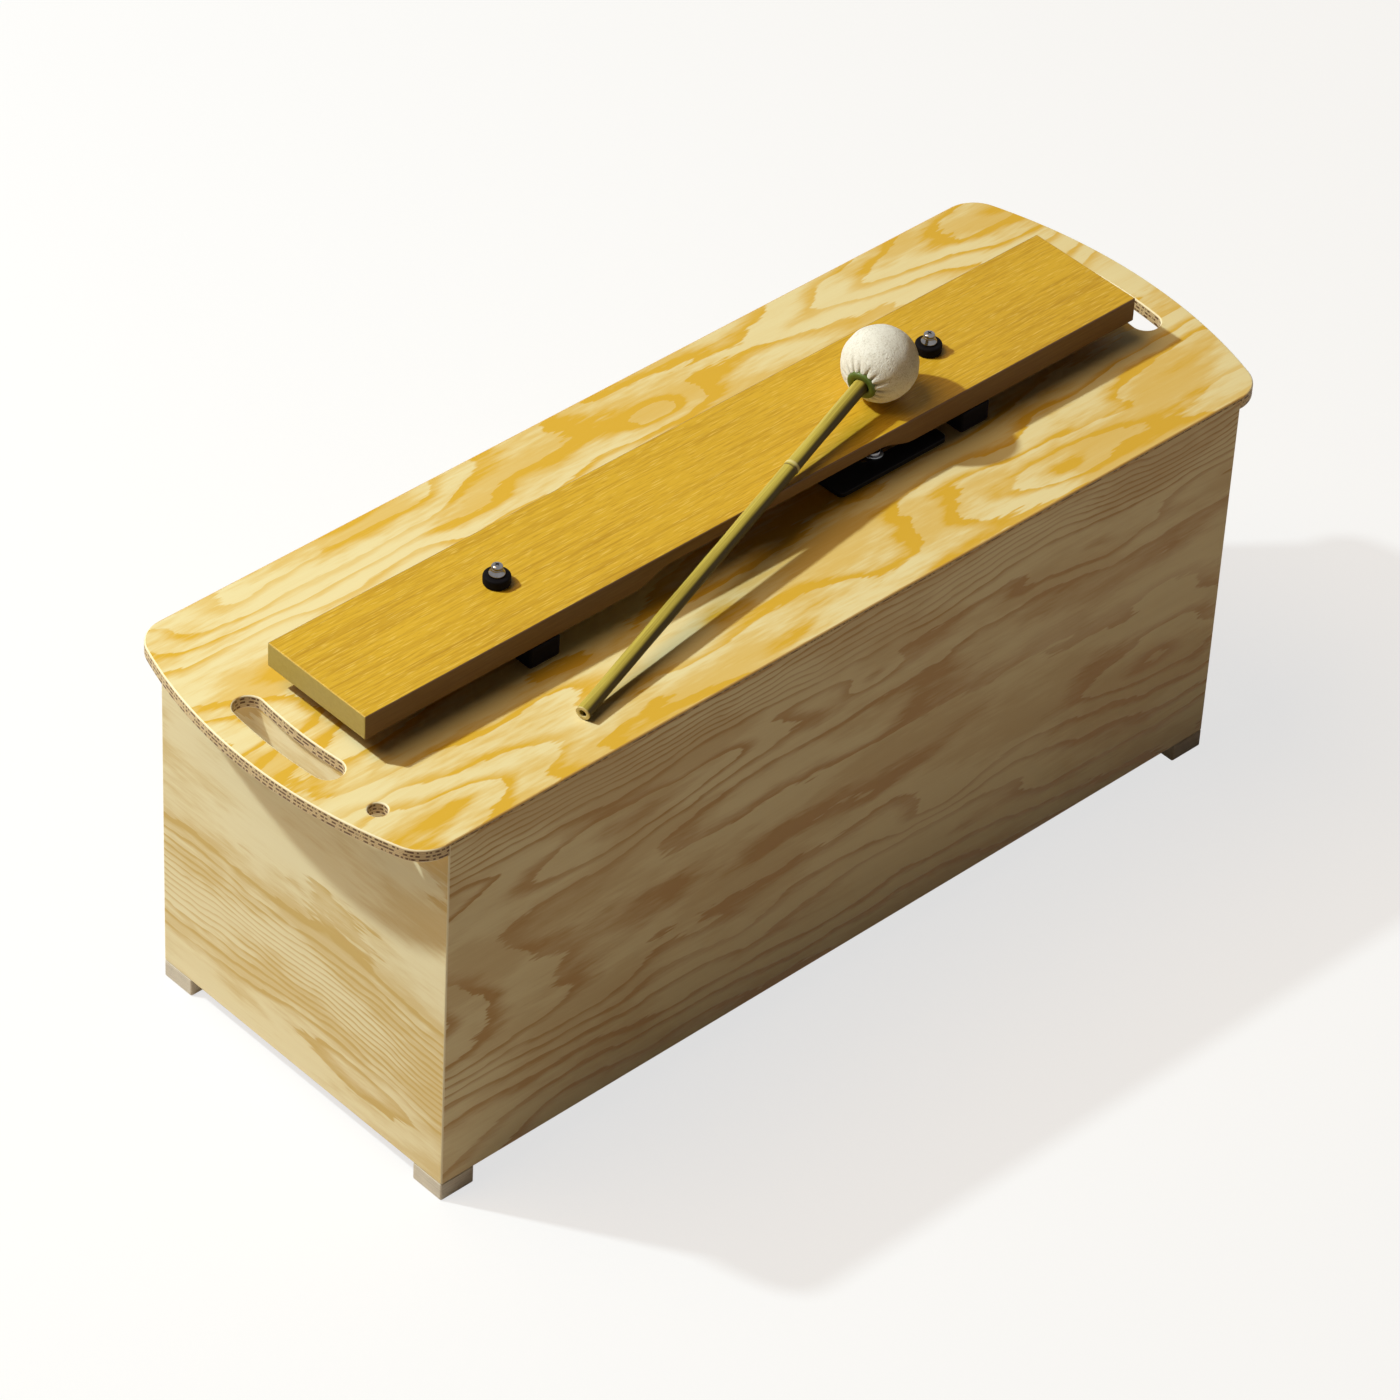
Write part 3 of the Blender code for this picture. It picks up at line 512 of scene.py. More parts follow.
pressed = Finish("pressed_board", Roughness=0.85, Specular_IOR_Level=0.25)
x, y, z = pressed.place()
speck = pressed.noise(x * 900, y * 900, z * 1500, 3, 0.6)
sheet = pressed.noise(x * 20, y * 20, z * 1400)
cloud = pressed.noise(x * 90, y * 90, z * 200)
share = (speck - 0.5) * 0.7 + (sheet - 0.5) * 1.1 + (cloud - 0.5) * 0.6 + 0.45
pressed.feed(pressed.shader, {
    "Base Color": pressed.mixed(share, (0.78, 0.73, 0.62), (0.47, 0.43, 0.36)),
    "Roughness": 0.92 - speck * 0.12, "Normal": pressed.raised(speck + sheet, 0.0002, 0.6)})
foot_screws = []
for edge_name, edge in FRONT_REAR:
    for side_name, side in LEFT_RIGHT:
        middle = (side * (BOX_LENGTH - FOOT_SIZE) / 2, edge * (BOX_WIDTH - FOOT_SIZE) / 2)
        screw_at = (side * (BOX_LENGTH / 2 - FOOT_SCREW_IN),
                    edge * (BOX_WIDTH / 2 - FOOT_SCREW_IN))
        foot_screws.append((*screw_at, SCREW_SINK))
        hole = circle(screw_at, SCREW_HEAD_RADIUS + SCREW_ROOM, 32)
        foot = board(f"foot_block_{edge_name}_{side_name}",
                     [rounded_rectangle(middle, FOOT_SIZE, FOOT_SIZE, FOOT_CORNER, 5), hole],
                     0, FOOT_HEIGHT, FOOT_EASE)
        dressed(foot, pressed.material)
        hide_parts(f"foot_{edge_name}_{side_name}")
        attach(foot, "sound_box")

# The screws from below: zinc-plated countersunk wood screws with a cross recess, four
# long ones up through the feet and three short ones a side into the cleats.
SHANK_RADIUS = 0.0018
HEAD_DEPTH = 0.0022
SHANK_IN_HEAD = 0.0006
RECESS_REACH = 0.0036
RECESS_WIDTH = 0.0007
RECESS_DEPTH = 0.0012
FOOT_SCREW_LENGTH = 0.022
PANEL_SCREW_LENGTH = 0.011
PANEL_SCREW_PITCH = 0.2
CLEAT_OUT = 0.1037
zinc = Finish("zinc_plate", Metallic=1)
bloom = zinc.even_noise(zinc.place(), 260, 3, 0.6)
zinc.feed(zinc.shader, {"Base Color": zinc.mixed(bloom, (0.66, 0.67, 0.7), (0.5, 0.51, 0.52)),
                        "Roughness": 0.26 + bloom * 0.25})


def screw_tree():
    """Countersunk screws, one on each point of the mesh, their heads down."""
    tree = bpy.data.node_groups.new("countersunk_screws", "GeometryNodeTree")
    tree.interface.new_socket("Places", in_out="INPUT", socket_type="NodeSocketGeometry")
    for name in ("Length", "Head radius", "Head depth", "Shank radius"):
        tree.interface.new_socket(name, in_out="INPUT", socket_type="NodeSocketFloat")
    tree.interface.new_socket("Finish", in_out="INPUT", socket_type="NodeSocketMaterial")
    tree.interface.new_socket("Screws", in_out="OUTPUT", socket_type="NodeSocketGeometry")
    grow = Nodes(tree)
    given = {socket.name: Value(grow, socket)
             for socket in tree.nodes.new("NodeGroupInput").outputs}
    head = grow.node("GeometryNodeMeshCone", None,
                     {"Vertices": 32, "Radius Top": given["Shank radius"],
                      "Radius Bottom": given["Head radius"], "Depth": given["Head depth"]})
    shank_low = given["Head depth"] - SHANK_IN_HEAD
    shank = grow.node("GeometryNodeMeshCylinder", None,
                      {"Vertices": 24, "Radius": given["Shank radius"],
                       "Depth": given["Length"] - shank_low})
    lift = grow.node("ShaderNodeCombineXYZ", None, {2: (given["Length"] + shank_low) * 0.5})
    shank = grow.node("GeometryNodeTransform", None, {"Geometry": shank, "Translation": lift})
    blade, across = [grow.node("GeometryNodeMeshCube", None, {"Size": (*arm, 2 * RECESS_DEPTH)})
                     for arm in ((RECESS_REACH, RECESS_WIDTH), (RECESS_WIDTH, RECESS_REACH))]
    union = {"operation": "UNION", "solver": "EXACT"}
    solid = grow.node("GeometryNodeMeshBoolean", union, {"Mesh 2": [head, shank]})
    cross = grow.node("GeometryNodeMeshBoolean", union, {"Mesh 2": [blade, across]})
    screw = grow.node("GeometryNodeMeshBoolean", {"operation": "DIFFERENCE", "solver": "EXACT"},
                      {"Mesh 1": solid, "Mesh 2": cross})
    on_points = grow.node("GeometryNodeInstanceOnPoints", None,
                          {"Points": given["Places"], "Instance": screw})
    real = grow.node("GeometryNodeRealizeInstances", None, {"Geometry": on_points})
    finished = grow.node("GeometryNodeSetMaterial", None,
                         {"Geometry": real, "Material": given["Finish"]})
    grow.feed(tree.nodes.new("NodeGroupOutput"), {"Screws": finished})
    return tree


def grown(name, places, tree, inputs):
    """What a tree grows on those points, as one plain mesh."""
    mesh = bpy.data.meshes.new(name)
    mesh.from_pydata(places, [], [])
    piece = placed(name, mesh)
    growth = piece.modifiers.new(name, "NODES")
    growth.node_group = tree
    for item in tree.interface.items_tree:
        if item.in_out == "INPUT" and item.name in inputs:
            growth[item.identifier] = inputs[item.name]
    return settled(piece)


countersunk = screw_tree()
panel_screws = [(k * PANEL_SCREW_PITCH, edge * CLEAT_OUT, WALL_FOOT)
                for edge in (-1, 1) for k in (-1, 0, 1)]
for name, places, length, nodes in (
        ("feet_screws", foot_screws, FOOT_SCREW_LENGTH,
         [f"foot_screw_{edge}_{side}" for edge, _ in FRONT_REAR for side, _ in LEFT_RIGHT]),
        ("panel_screws", panel_screws, PANEL_SCREW_LENGTH,
         [f"bottom_screw_{edge}_{i}" for edge, _ in FRONT_REAR for i in (1, 2, 3)])):
    screws = grown(name, places, countersunk, {
        "Length": length, "Head radius": SCREW_HEAD_RADIUS, "Head depth": HEAD_DEPTH,
        "Shank radius": SHANK_RADIUS, "Finish": zinc.material})
    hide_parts(*nodes)
    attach(screws, "sound_box")

# The top plate: one 8.5 mm sheet of the same plywood that runs out past both ends in a
# bowed handle with a finger slot. It is rebated underneath for the long walls and bored
# for the mallet, bolts and screws, with the sound slot in its middle. Its edges are sanded.
EAR_OVERHANG = 0.039
EAR_BOW = 0.023
EAR_CORNER = 0.022
GRIP_LENGTH = 0.084
GRIP_WIDTH = 0.018
GRIP_OUT = 0.0115
PLATE_EASE = 0.0011
REBATE_SPARE = 0.004
SOUND_SLOT = (0.194, 0.036)
MALLET_HOLE_AT = (-0.312, -0.075)
MALLET_HOLE_RADIUS = 0.0055
BOLT_OUT = 0.1635
BOLT_BORE = 0.0024
SLIDER_SCREW_X = 0.098
SLIDER_SCREW_OUT = 0.0255
SLIDER_SCREW_BORE = 0.0022


def turned_about(points):
    """The outline turned half round about the middle."""
    return [(-x, -y) for x, y in points]


def stadium(centre, length, width, steps):
    reach = (length - width) / 2
    right = arc((centre[0] + reach, centre[1]), width / 2, -math.pi / 2, math.pi / 2, steps)
    left = arc((centre[0] - reach, centre[1]), width / 2, math.pi / 2, 3 * math.pi / 2, steps)
    return right + left


def carved(piece, *cutters):
    """The piece with the cutters' room taken out of it."""
    for cutter in cutters:
        take = piece.modifiers.new("take out", "BOOLEAN")
        take.operation = "DIFFERENCE"
        take.solver = "EXACT"
        take.object = cutter
    settled(piece)
    for cutter in cutters:
        bpy.data.objects.remove(cutter, do_unlink=True)


plate_end = BOX_LENGTH / 2 + EAR_OVERHANG
bow_radius = (EAR_BOW ** 2 + (BOX_WIDTH / 2) ** 2) / (2 * EAR_BOW)
bow_x = plate_end - bow_radius
corner_y = BOX_WIDTH / 2 - EAR_CORNER
corner_x = bow_x + math.sqrt((bow_radius - EAR_CORNER) ** 2 - corner_y ** 2)
meet = math.atan2(corner_y, corner_x - bow_x)
ear = (arc((corner_x, -corner_y), EAR_CORNER, -math.pi / 2, -meet, 20)
       + arc((bow_x, 0), bow_radius, -meet, meet, 56)[1:-1]
       + arc((corner_x, corner_y), EAR_CORNER, meet, math.pi / 2, 20))
grip_middle = bow_radius - EAR_OVERHANG + GRIP_OUT
half_grip = GRIP_WIDTH / 2
swing = (GRIP_LENGTH / 2 - half_grip) / grip_middle
grip_x, grip_y = bow_x + grip_middle * math.cos(swing), grip_middle * math.sin(swing)
grip = (arc((bow_x, 0), grip_middle + half_grip, -swing, swing, 24)
        + arc((grip_x, grip_y), half_grip, swing, swing + math.pi, 18)[1:-1]
        + arc((bow_x, 0), grip_middle - half_grip, swing, -swing, 24)
        + arc((grip_x, -grip_y), half_grip, math.pi - swing, 2 * math.pi - swing, 18)[1:-1])
openings = [grip, turned_about(grip), stadium((0, 0), *SOUND_SLOT, 24),
            circle(MALLET_HOLE_AT, MALLET_HOLE_RADIUS, 40)]
openings += [circle((side * BOLT_OUT, 0), BOLT_BORE, 20) for side in (-1, 1)]
openings += [circle((SLIDER_SCREW_X, edge * SLIDER_SCREW_OUT), SLIDER_SCREW_BORE, 20)
             for edge in (-1, 1)]
plate = board("plate_board", [ear + turned_about(ear)] + openings,
              PLATE_TOP - PLATE_THICK, PLATE_TOP, PLATE_EASE)
outer, inner = BOX_LENGTH / 2 + REBATE_SPARE, BOX_LENGTH / 2 - WALL_THICK
wall_room = [(-outer, -REBATE_SPARE), (outer, -REBATE_SPARE),
             (inner, WALL_THICK), (-inner, WALL_THICK)]
rebates = [board(f"rebate_{edge}", [wall_room if edge < 0 else turned_about(wall_room)],
                 PLATE_TOP - PLATE_THICK - REBATE_SPARE, PLATE_TOP - PLATE_LIP, 0,
                 Matrix.Translation((0, edge * BOX_WIDTH / 2, 0))) for edge in (-1, 1)]
carved(plate, *rebates)
dressed(plate, veneer(
    "plate_veneer", 0, 1, 2, 7.35, VENEER_GOLD, 7, 0.62, early=(0.83, 0.715, 0.385),
    swells=[(-0.215, 0.115, 0.18, 0.042, 5), (0.038, 0.081, 0.024, 0.013, 1.1),
            (-0.42, 0.015, 0.15, 0.03, -3.2), (-0.33, -0.105, 0.11, 0.05, 2.6),
            (-0.04, -0.1, 0.06, 0.026, 1.2), (0.165, -0.1, 0.08, 0.03, 1.5),
            (0.36, -0.125, 0.12, 0.06, 3.6), (0.34, 0.11, 0.13, 0.045, 3)]))
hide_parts("top_plate")
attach(plate, "sound_box")

# The rests: two black rubber blocks across the plate under the bar's still points, each
# bored for its bolt, with rounded corners and a matt moulded skin.
REST_LENGTH = 0.022
REST_WIDTH = 0.082
REST_CORNER = 0.0018
REST_EASE = 0.0011
REST_TOP = 0.2757
SEAT_GAP = 0.0001
rubber = Finish("moulded_rubber", Specular_IOR_Level=0.04)
point = rubber.place()
skin = rubber.even_noise(point, 1500)
dust = rubber.even_noise(point, 120, 3, 0.6)
rubber.feed(rubber.shader, {
    "Base Color": rubber.mixed(dust.step(0.45, 0.8) * 0.6,
                               (0.005, 0.004, 0.005), (0.013, 0.011, 0.01)),
    "Roughness": 0.5 + dust * 0.25, "Normal": rubber.raised(skin, 0.00006, 0.5)})
for side_name, side in LEFT_RIGHT:
    middle = (side * BOLT_OUT, 0)
    rest = board(f"rest_block_{side_name}",
                 [rounded_rectangle(middle, REST_LENGTH, REST_WIDTH, REST_CORNER, 5),
                  circle(middle, BOLT_BORE, 20)],
                 PLATE_TOP + SEAT_GAP, REST_TOP, REST_EASE)
    dressed(rest, rubber.material)
    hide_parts(f"bar_rest_{side_name}")
    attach(rest, "sound_box")

# The tone bar: one 16 mm plank with softened edges, undercut to 9 mm in the middle to
# tune it, finished golden yellow with a satin lacquer. Fine light pores run along it.
BAR_LENGTH = 0.583
BAR_WIDTH = 0.081
BAR_THICK = 0.016
BAR_UNDER = 0.276
BAR_TOP = 0.292
BAR_CORNER = 0.0011
BAR_EASE = 0.001
WAIST_AT = 0.008
WAIST_HALF = 0.079
RAMP_LENGTH = 0.028
UNDERCUT = 0.007
BUSH_BORE = 0.0051
BORE_SPARE = 0.004
BAR_GOLD = (0.67, 0.407, 0.024)
BAR_LIGHT = (0.8, 0.57, 0.12)
BAR_DEEP = (0.46, 0.245, 0.01)
# Painted shade: the bar's sides and underside take this dark brown, the shade they lie in painted
# into their colour.
BAR_SIDE_SHADE = (0.155, 0.075, 0.048)
BAR_END = (0.49, 0.375, 0.095)


def eased(points, radius, steps=4, closed=True):
    """The outline with its sharp corners rounded."""
    rounded = []
    count = len(points)
    for i, point in enumerate(points):
        here = Vector(point)
        back = Vector(points[i - 1]) - here
        on = Vector(points[(i + 1) % count]) - here
        if (not closed and i in (0, count - 1) or min(back.length, on.length) < 1e-7
                or back.angle(on) > math.radians(140)):
            rounded.append(tuple(here))
            continue
        reach = min(radius, back.length * 0.45, on.length * 0.45)
        start, end = here + back.normalized() * reach, here + on.normalized() * reach
        for k in range(steps + 1):
            s = k / steps
            rounded.append(tuple(start * (1 - s) ** 2 + here * 2 * s * (1 - s) + end * s ** 2))
    return rounded


def spun(bm, radius, height, steps):
    """A ring of points round the axis; on the axis one point stands for them all."""
    if radius < 1e-7:
        return [bm.verts.new((0, 0, height))] * steps
    return [bm.verts.new((radius * math.cos(2 * math.pi * i / steps),
                          radius * math.sin(2 * math.pi * i / steps), height))
            for i in range(steps)]


def turned(name, profile, steps, place=None, closed=False):
    """A turned piece: (radius, height) points spun round its axis."""
    bm = bmesh.new()
    rings = [spun(bm, radius, height, steps) for radius, height in profile]
    for first, second in zip(rings, rings[1:] + (rings[:1] if closed else [])):
        spanned(bm, first, second)
    piece = new_piece(name, bm)
    if place:
        piece.data.transform(place)
    return piece


ramp_start, ramp_end = WAIST_AT - WAIST_HALF - RAMP_LENGTH, WAIST_AT + WAIST_HALF + RAMP_LENGTH
ramp = [(RAMP_LENGTH * i / 24, UNDERCUT * (1 - math.cos(math.pi * i / 24)) / 2)
        for i in range(25)]
side_view = [(-BAR_LENGTH / 2, 0)] + [(ramp_start + x, z) for x, z in ramp]
side_view += [(ramp_end - x, z) for x, z in reversed(ramp)]
side_view += [(BAR_LENGTH / 2, 0), (BAR_LENGTH / 2, BAR_THICK), (-BAR_LENGTH / 2, BAR_THICK)]
bar = board("bar_plank", [eased(side_view, BAR_CORNER)], -BAR_WIDTH / 2, BAR_WIDTH / 2, BAR_EASE,
            Matrix.Translation((0, 0, BAR_UNDER)) @ Matrix.Rotation(math.pi / 2, 4, "X"))
bore_low, bore_high = -BORE_SPARE, BAR_THICK + BORE_SPARE
bore_profile = [(0, bore_low), (BUSH_BORE, bore_low), (BUSH_BORE, bore_high), (0, bore_high)]
bores = [turned(f"bush_bore_{side}", bore_profile, 32,
                Matrix.Translation((side * BOLT_OUT, 0, BAR_UNDER))) for side in (-1, 1)]
carved(bar, *bores)
gold = Finish("golden_lacquer", Specular_IOR_Level=0.24)
x, y, z = gold.place()
pore = gold.noise(x * 95, y * 1400, z * 1400, 1)
thread = gold.noise(x * 24, y * 620, z * 620, 3, 0.62)
long_line = gold.noise(x * 2.5, y * 150, z * 150).step(0.5, 0.64)
ripple = gold.noise(x * 7, y * 34, z * 34)
colour = gold.mixed((thread - 0.5) * 2.4 + (ripple - 0.5) * 0.9 + long_line * 0.28 + 0.16,
                    BAR_GOLD, BAR_DEEP)
colour = gold.mixed(pore.step(0.57, 0.76) * 0.65, colour, BAR_LIGHT)
colour = gold.mixed((1 - pore).step(0.58, 0.74) * 0.6, colour, BAR_DEEP)
facing = gold.facing()
# Painted shade: the long sides and the underside of the bar are painted dark brown, lit top and
# shaded sides as two colours of one wood.
shaded_sides_and_under = abs(facing[1]).step(0.12, 0.45).larger((facing[2] * -1).step(0.3, 0.7))
end_face = abs(facing[0]).step(0.6, 0.9)
end_grain = gold.noise(x * 300, y * 500, z * 500, 3, 0.6)
colour = gold.mixed(shaded_sides_and_under * 0.9, colour, gold.mixed(thread, BAR_SIDE_SHADE, (0.105, 0.055, 0.033)))
colour = gold.mixed(end_face, colour, gold.mixed(end_grain, BAR_END, (0.38, 0.275, 0.062)))
gold.feed(gold.shader, {"Base Color": colour, "Roughness": 0.36 + thread * 0.16,
                        "Normal": gold.raised(pore + thread, 0.00005, 0.45)})
dressed(bar, gold.material)
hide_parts("tone_bar")
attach(bar, "sound_box")

# The bushes and bolts hold the bar at its two still points. A black rubber bush fills the
# hole and stands up as a round collar, a flared steel ferrule presses on it, and a
# pan-head bolt goes down through the rest and the plate to a washer and a nut.
BUSH_TOP = 0.2983
BUSH_RADIUS = 0.0079
BUSH_NECK = 0.0048
BUSH_EASE = 0.0016
FERRULE_TOP = 0.3026
FERRULE_BORE = 0.0021
FERRULE_NECK = 0.0034
FLARE_LOW = 0.2994
FLARE_OUT = 0.0014
FLARE_UP = 0.0026
HEAD_SEAT = 0.3029
BOLT_HEAD_RADIUS = 0.0033
BOLT_HEAD_HEIGHT = 0.0023
BOLT_SHANK = 0.002
BOLT_END = 0.2457
BOLT_RECESS = (0.0036, 0.0008, 0.0016)
METAL_EASE = 0.0003


def cross_cutter(name, place, reach, width, depth):
    """The room of a cross recess, narrowing downwards from a head's crown."""
    bm = bmesh.new()
    rings = []
    for long, short, height in ((reach / 2, width / 2, 0.001),
                                (reach * 0.28, width * 0.35, -depth)):
        arm = (Vector((long, -short, height)), Vector((long, short, height)),
               Vector((short, short, height)))
        rings.append([bm.verts.new(Matrix.Rotation(math.pi / 2 * k, 3, "Z") @ corner)
                      for k in range(4) for corner in arm])
    top, low = rings
    bm.faces.new(top)
    bm.faces.new(low)
    spanned(bm, top, low)
    piece = new_piece(name, bm)
    piece.data.transform(Matrix.Translation(place))
    return piece


steel = Finish("polished_steel", Metallic=1)
haze = steel.even_noise(steel.place(), 400, 3, 0.6)
steel.feed(steel.shader, {
    "Base Color": steel.mixed(haze, (0.27, 0.26, 0.26), (0.12, 0.115, 0.115)),
    "Roughness": 0.05 + haze * 0.18, "Normal": steel.raised(haze, 0.00003, 0.3)})
bush_low, ferrule_low = BAR_TOP + SEAT_GAP, BUSH_TOP + SEAT_GAP
bush_profile = [(BOLT_BORE, BUSH_TOP), (BUSH_RADIUS, BUSH_TOP), (BUSH_RADIUS, bush_low),
                (BUSH_NECK, bush_low), (BUSH_NECK, BAR_UNDER), (BOLT_BORE, BAR_UNDER)]
quarter = [math.pi / 2 * i / 12 for i in range(13)]
flare = [(FERRULE_NECK + FLARE_OUT * (1 - math.sin(a)) ** 1.5, FLARE_LOW + FLARE_UP * math.sin(a))
         for a in reversed(quarter)]
ferrule_profile = ([(FERRULE_BORE, FERRULE_TOP), (FERRULE_NECK, FERRULE_TOP)] + flare
                   + [(BUSH_NECK, ferrule_low), (FERRULE_BORE, ferrule_low)])
head_edge = BOLT_HEAD_HEIGHT * 0.35
crown = [(BOLT_HEAD_RADIUS * math.sin(a),
          HEAD_SEAT + head_edge + (BOLT_HEAD_HEIGHT - head_edge) * math.cos(a)) for a in quarter]
head_low = HEAD_SEAT - 2 * SEAT_GAP
bolt_profile = crown + [(BOLT_HEAD_RADIUS, head_low), (BOLT_SHANK, head_low),
                        (BOLT_SHANK, BOLT_END), (0, BOLT_END)]
for side_name, side in LEFT_RIGHT:
    place = Matrix.Translation((side * BOLT_OUT, 0, 0))
    bush = turned(f"bush_{side_name}", eased(bush_profile, BUSH_EASE, 6), 48, place, closed=True)
    dressed(bush, rubber.material)
    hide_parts(f"bar_bush_{side_name}")
    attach(bush, "sound_box")
    ferrule = turned(f"ferrule_{side_name}", eased(ferrule_profile, METAL_EASE), 40, place,
                     closed=True)
    dressed(ferrule, steel.material)
    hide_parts(f"bolt_ferrule_{side_name}")
    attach(ferrule, "sound_box")
    bolt = turned(f"bolt_{side_name}", eased(bolt_profile, METAL_EASE, closed=False), 40, place)
    head_top = (side * BOLT_OUT, 0, HEAD_SEAT + BOLT_HEAD_HEIGHT)
    carved(bolt, cross_cutter(f"recess_{side_name}", head_top, *BOLT_RECESS))
    dressed(bolt, steel.material)
    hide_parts(f"bar_bolt_{side_name}")
    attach(bolt, "sound_box")
    for hidden in (f"bolt_washer_{side_name}", f"bolt_nut_{side_name}"):
        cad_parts[hidden].material_slots[0].material = zinc.material

# The tuning slider: a thin black plate with two slots that slides over the end of the
# sound slot. Two round-head screws with washers hold it down, loose enough to push.
SLIDER_X = 0.1
SLIDER_LENGTH = 0.084
SLIDER_WIDTH = 0.082
SLIDER_CORNER = 0.004
SLIDER_EASE = 0.0005
SLIDER_LOW = PLATE_TOP + 0.0003
SLIDER_THICK = 0.003
SLOT_X = SLIDER_X + 0.0065
SLOT_LENGTH = 0.0374
SLOT_WIDTH = 0.0044
WASHER_RADIUS = 0.0055
WASHER_BORE = 0.002
WASHER_LOW = SLIDER_LOW + SLIDER_THICK + SEAT_GAP
WASHER_TOP = WASHER_LOW + 0.0011
DOME_RADIUS = 0.004
DOME_HEIGHT = 0.0026
DOME_LOW = WASHER_TOP + SEAT_GAP
SCREW_SHANK = 0.0019
SCREW_RECESS = (0.0042, 0.0009, 0.0018)
TAPER_TOP = PLATE_TOP - 0.0055
SCREW_POINT = PLATE_TOP - 0.0074
slots = [stadium((SLOT_X, edge * SLIDER_SCREW_OUT), SLOT_LENGTH, SLOT_WIDTH, 10)
         for edge in (-1, 1)]
slider_outline = rounded_rectangle((SLIDER_X, 0), SLIDER_LENGTH, SLIDER_WIDTH, SLIDER_CORNER, 8)
slider = board("slider_plate", [slider_outline] + slots,
               SLIDER_LOW, SLIDER_LOW + SLIDER_THICK, SLIDER_EASE)
black = Finish("slider_black", Specular_IOR_Level=0.07)
x, y, z = black.place()
grain = black.even_noise((x, y, z), 1100)
wear = black.noise(x * 24, y * 160, z * 160, 3, 0.6)
black.feed(black.shader, {
    "Base Color": black.mixed(wear.step(0.5, 0.85) * 0.7,
                              (0.006, 0.005, 0.005), (0.016, 0.014, 0.012)),
    "Roughness": 0.42 + wear * 0.2, "Normal": black.raised(grain, 0.00005, 0.4)})
dressed(slider, black.material)
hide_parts("tuning_slider")
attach(slider, "tuning_slider")
dome = [(DOME_RADIUS * math.sin(a), DOME_LOW + DOME_HEIGHT * math.cos(a)) for a in quarter]
screw_profile = dome + [(SCREW_SHANK, DOME_LOW), (SCREW_SHANK, TAPER_TOP), (0, SCREW_POINT)]
washer_profile = [(WASHER_RADIUS, WASHER_TOP), (WASHER_RADIUS, WASHER_LOW),
                  (WASHER_BORE, WASHER_LOW), (WASHER_BORE, WASHER_TOP)]
for edge_name, edge in FRONT_REAR:
    at = (SLIDER_SCREW_X, edge * SLIDER_SCREW_OUT)
    place = Matrix.Translation((*at, 0))
    washer = turned(f"washer_{edge_name}", eased(washer_profile, METAL_EASE), 40, place,
                    closed=True)
    dressed(washer, zinc.material)
    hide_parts(f"slider_washer_{edge_name}")
    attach(washer, "sound_box")
    screw = turned(f"screw_{edge_name}", screw_profile, 40, place)
    carved(screw, cross_cutter(f"screw_recess_{edge_name}", (*at, DOME_LOW + DOME_HEIGHT),
                               *SCREW_RECESS))
    dressed(screw, steel.material)
    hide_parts(f"slider_screw_{edge_name}")
    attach(screw, "sound_box")

# The mallet's handle: a green-yellow cane with a hollow end and one node ring, which
# comes out of the head at a slant and lies on the bar's front edge and the plate.
HEAD_RADIUS = 0.0225
LYING_GAP = 0.0003
HEAD_AT = Vector((0.1122, -0.0117, BAR_TOP + LYING_GAP + HEAD_RADIUS))
HANDLE_RADIUS = 0.0045
HANDLE_REACH = 0.3071
HANDLE_SWING = math.radians(15)
HANDLE_IN_HEAD = 0.008
HANDLE_END = 0.0009
HANDLE_EASE = 0.0006
SHAFT_INSET = 0.0001
HOLLOW_RADIUS = 0.0022
HOLLOW_DEPTH = 0.014
NODE_AT = 0.094
NODE_SWELL = 0.0004
NODE_WIDTH = 0.0016
NODE_SHADOW_AT = NODE_AT + 0.0022
EDGE_GAP = 0.0004
to_plate = math.asin((HEAD_AT.z - PLATE_TOP - LYING_GAP - HANDLE_RADIUS) / HANDLE_REACH)
to_edge = math.atan2(HEAD_RADIUS - HANDLE_RADIUS - EDGE_GAP,
                     (BAR_WIDTH / 2 + HEAD_AT.y) / math.sin(HANDLE_SWING))
fall = min(to_plate, to_edge)
down_handle = Vector((-math.cos(fall) * math.cos(HANDLE_SWING),
                      -math.cos(fall) * math.sin(HANDLE_SWING), -math.sin(fall)))
handle_turn = down_handle.to_track_quat("Z", "Y")
mallet_place = Matrix.Translation(HEAD_AT) @ handle_turn.to_matrix().to_4x4()


def along_mallet(finish):
    """A point across, across and along the mallet's handle, from the head's centre."""
    point = finish.node("ShaderNodeTexCoord", output="Object")
    local = finish.node("ShaderNodeMapping", {"vector_type": "TEXTURE"},
                        {"Vector": point, "Location": HEAD_AT,
                         "Rotation": Vector(handle_turn.to_euler())})
    return finish.split(local)


hollow_end = HANDLE_REACH - HOLLOW_DEPTH
handle_profile = [(0, hollow_end), (HOLLOW_RADIUS, hollow_end),
                  (HOLLOW_RADIUS, HANDLE_REACH), (HANDLE_RADIUS, HANDLE_REACH)]
shaft_end = HANDLE_REACH - HANDLE_END
shaft = []
for i in range(121):
    s = shaft_end - (shaft_end + HANDLE_IN_HEAD) * i / 120
    swell = NODE_SWELL * math.exp(-((s - NODE_AT) / NODE_WIDTH) ** 2)
    waver = 0.00008 * math.sin(s * 61) + 0.00005 * math.sin(s * 143 + 1)
    shaft.append((HANDLE_RADIUS - SHAFT_INSET + swell + waver, s))
handle_profile = eased(handle_profile + shaft[:1], HANDLE_EASE, closed=False)[:-1] + shaft
handle_profile += [(0, -HANDLE_IN_HEAD)]
handle = turned("handle_cane", handle_profile, 40, mallet_place)
cane = Finish("green_cane", Specular_IOR_Level=0.15)
x, y, z = along_mallet(cane)
fibre = cane.noise(x * 1500, y * 1500, z * 22, 3, 0.6)
stain = cane.noise(x * 150, y * 150, z * 16)
node_ring = 1 - abs(z - NODE_AT).step(0.0003, NODE_WIDTH)
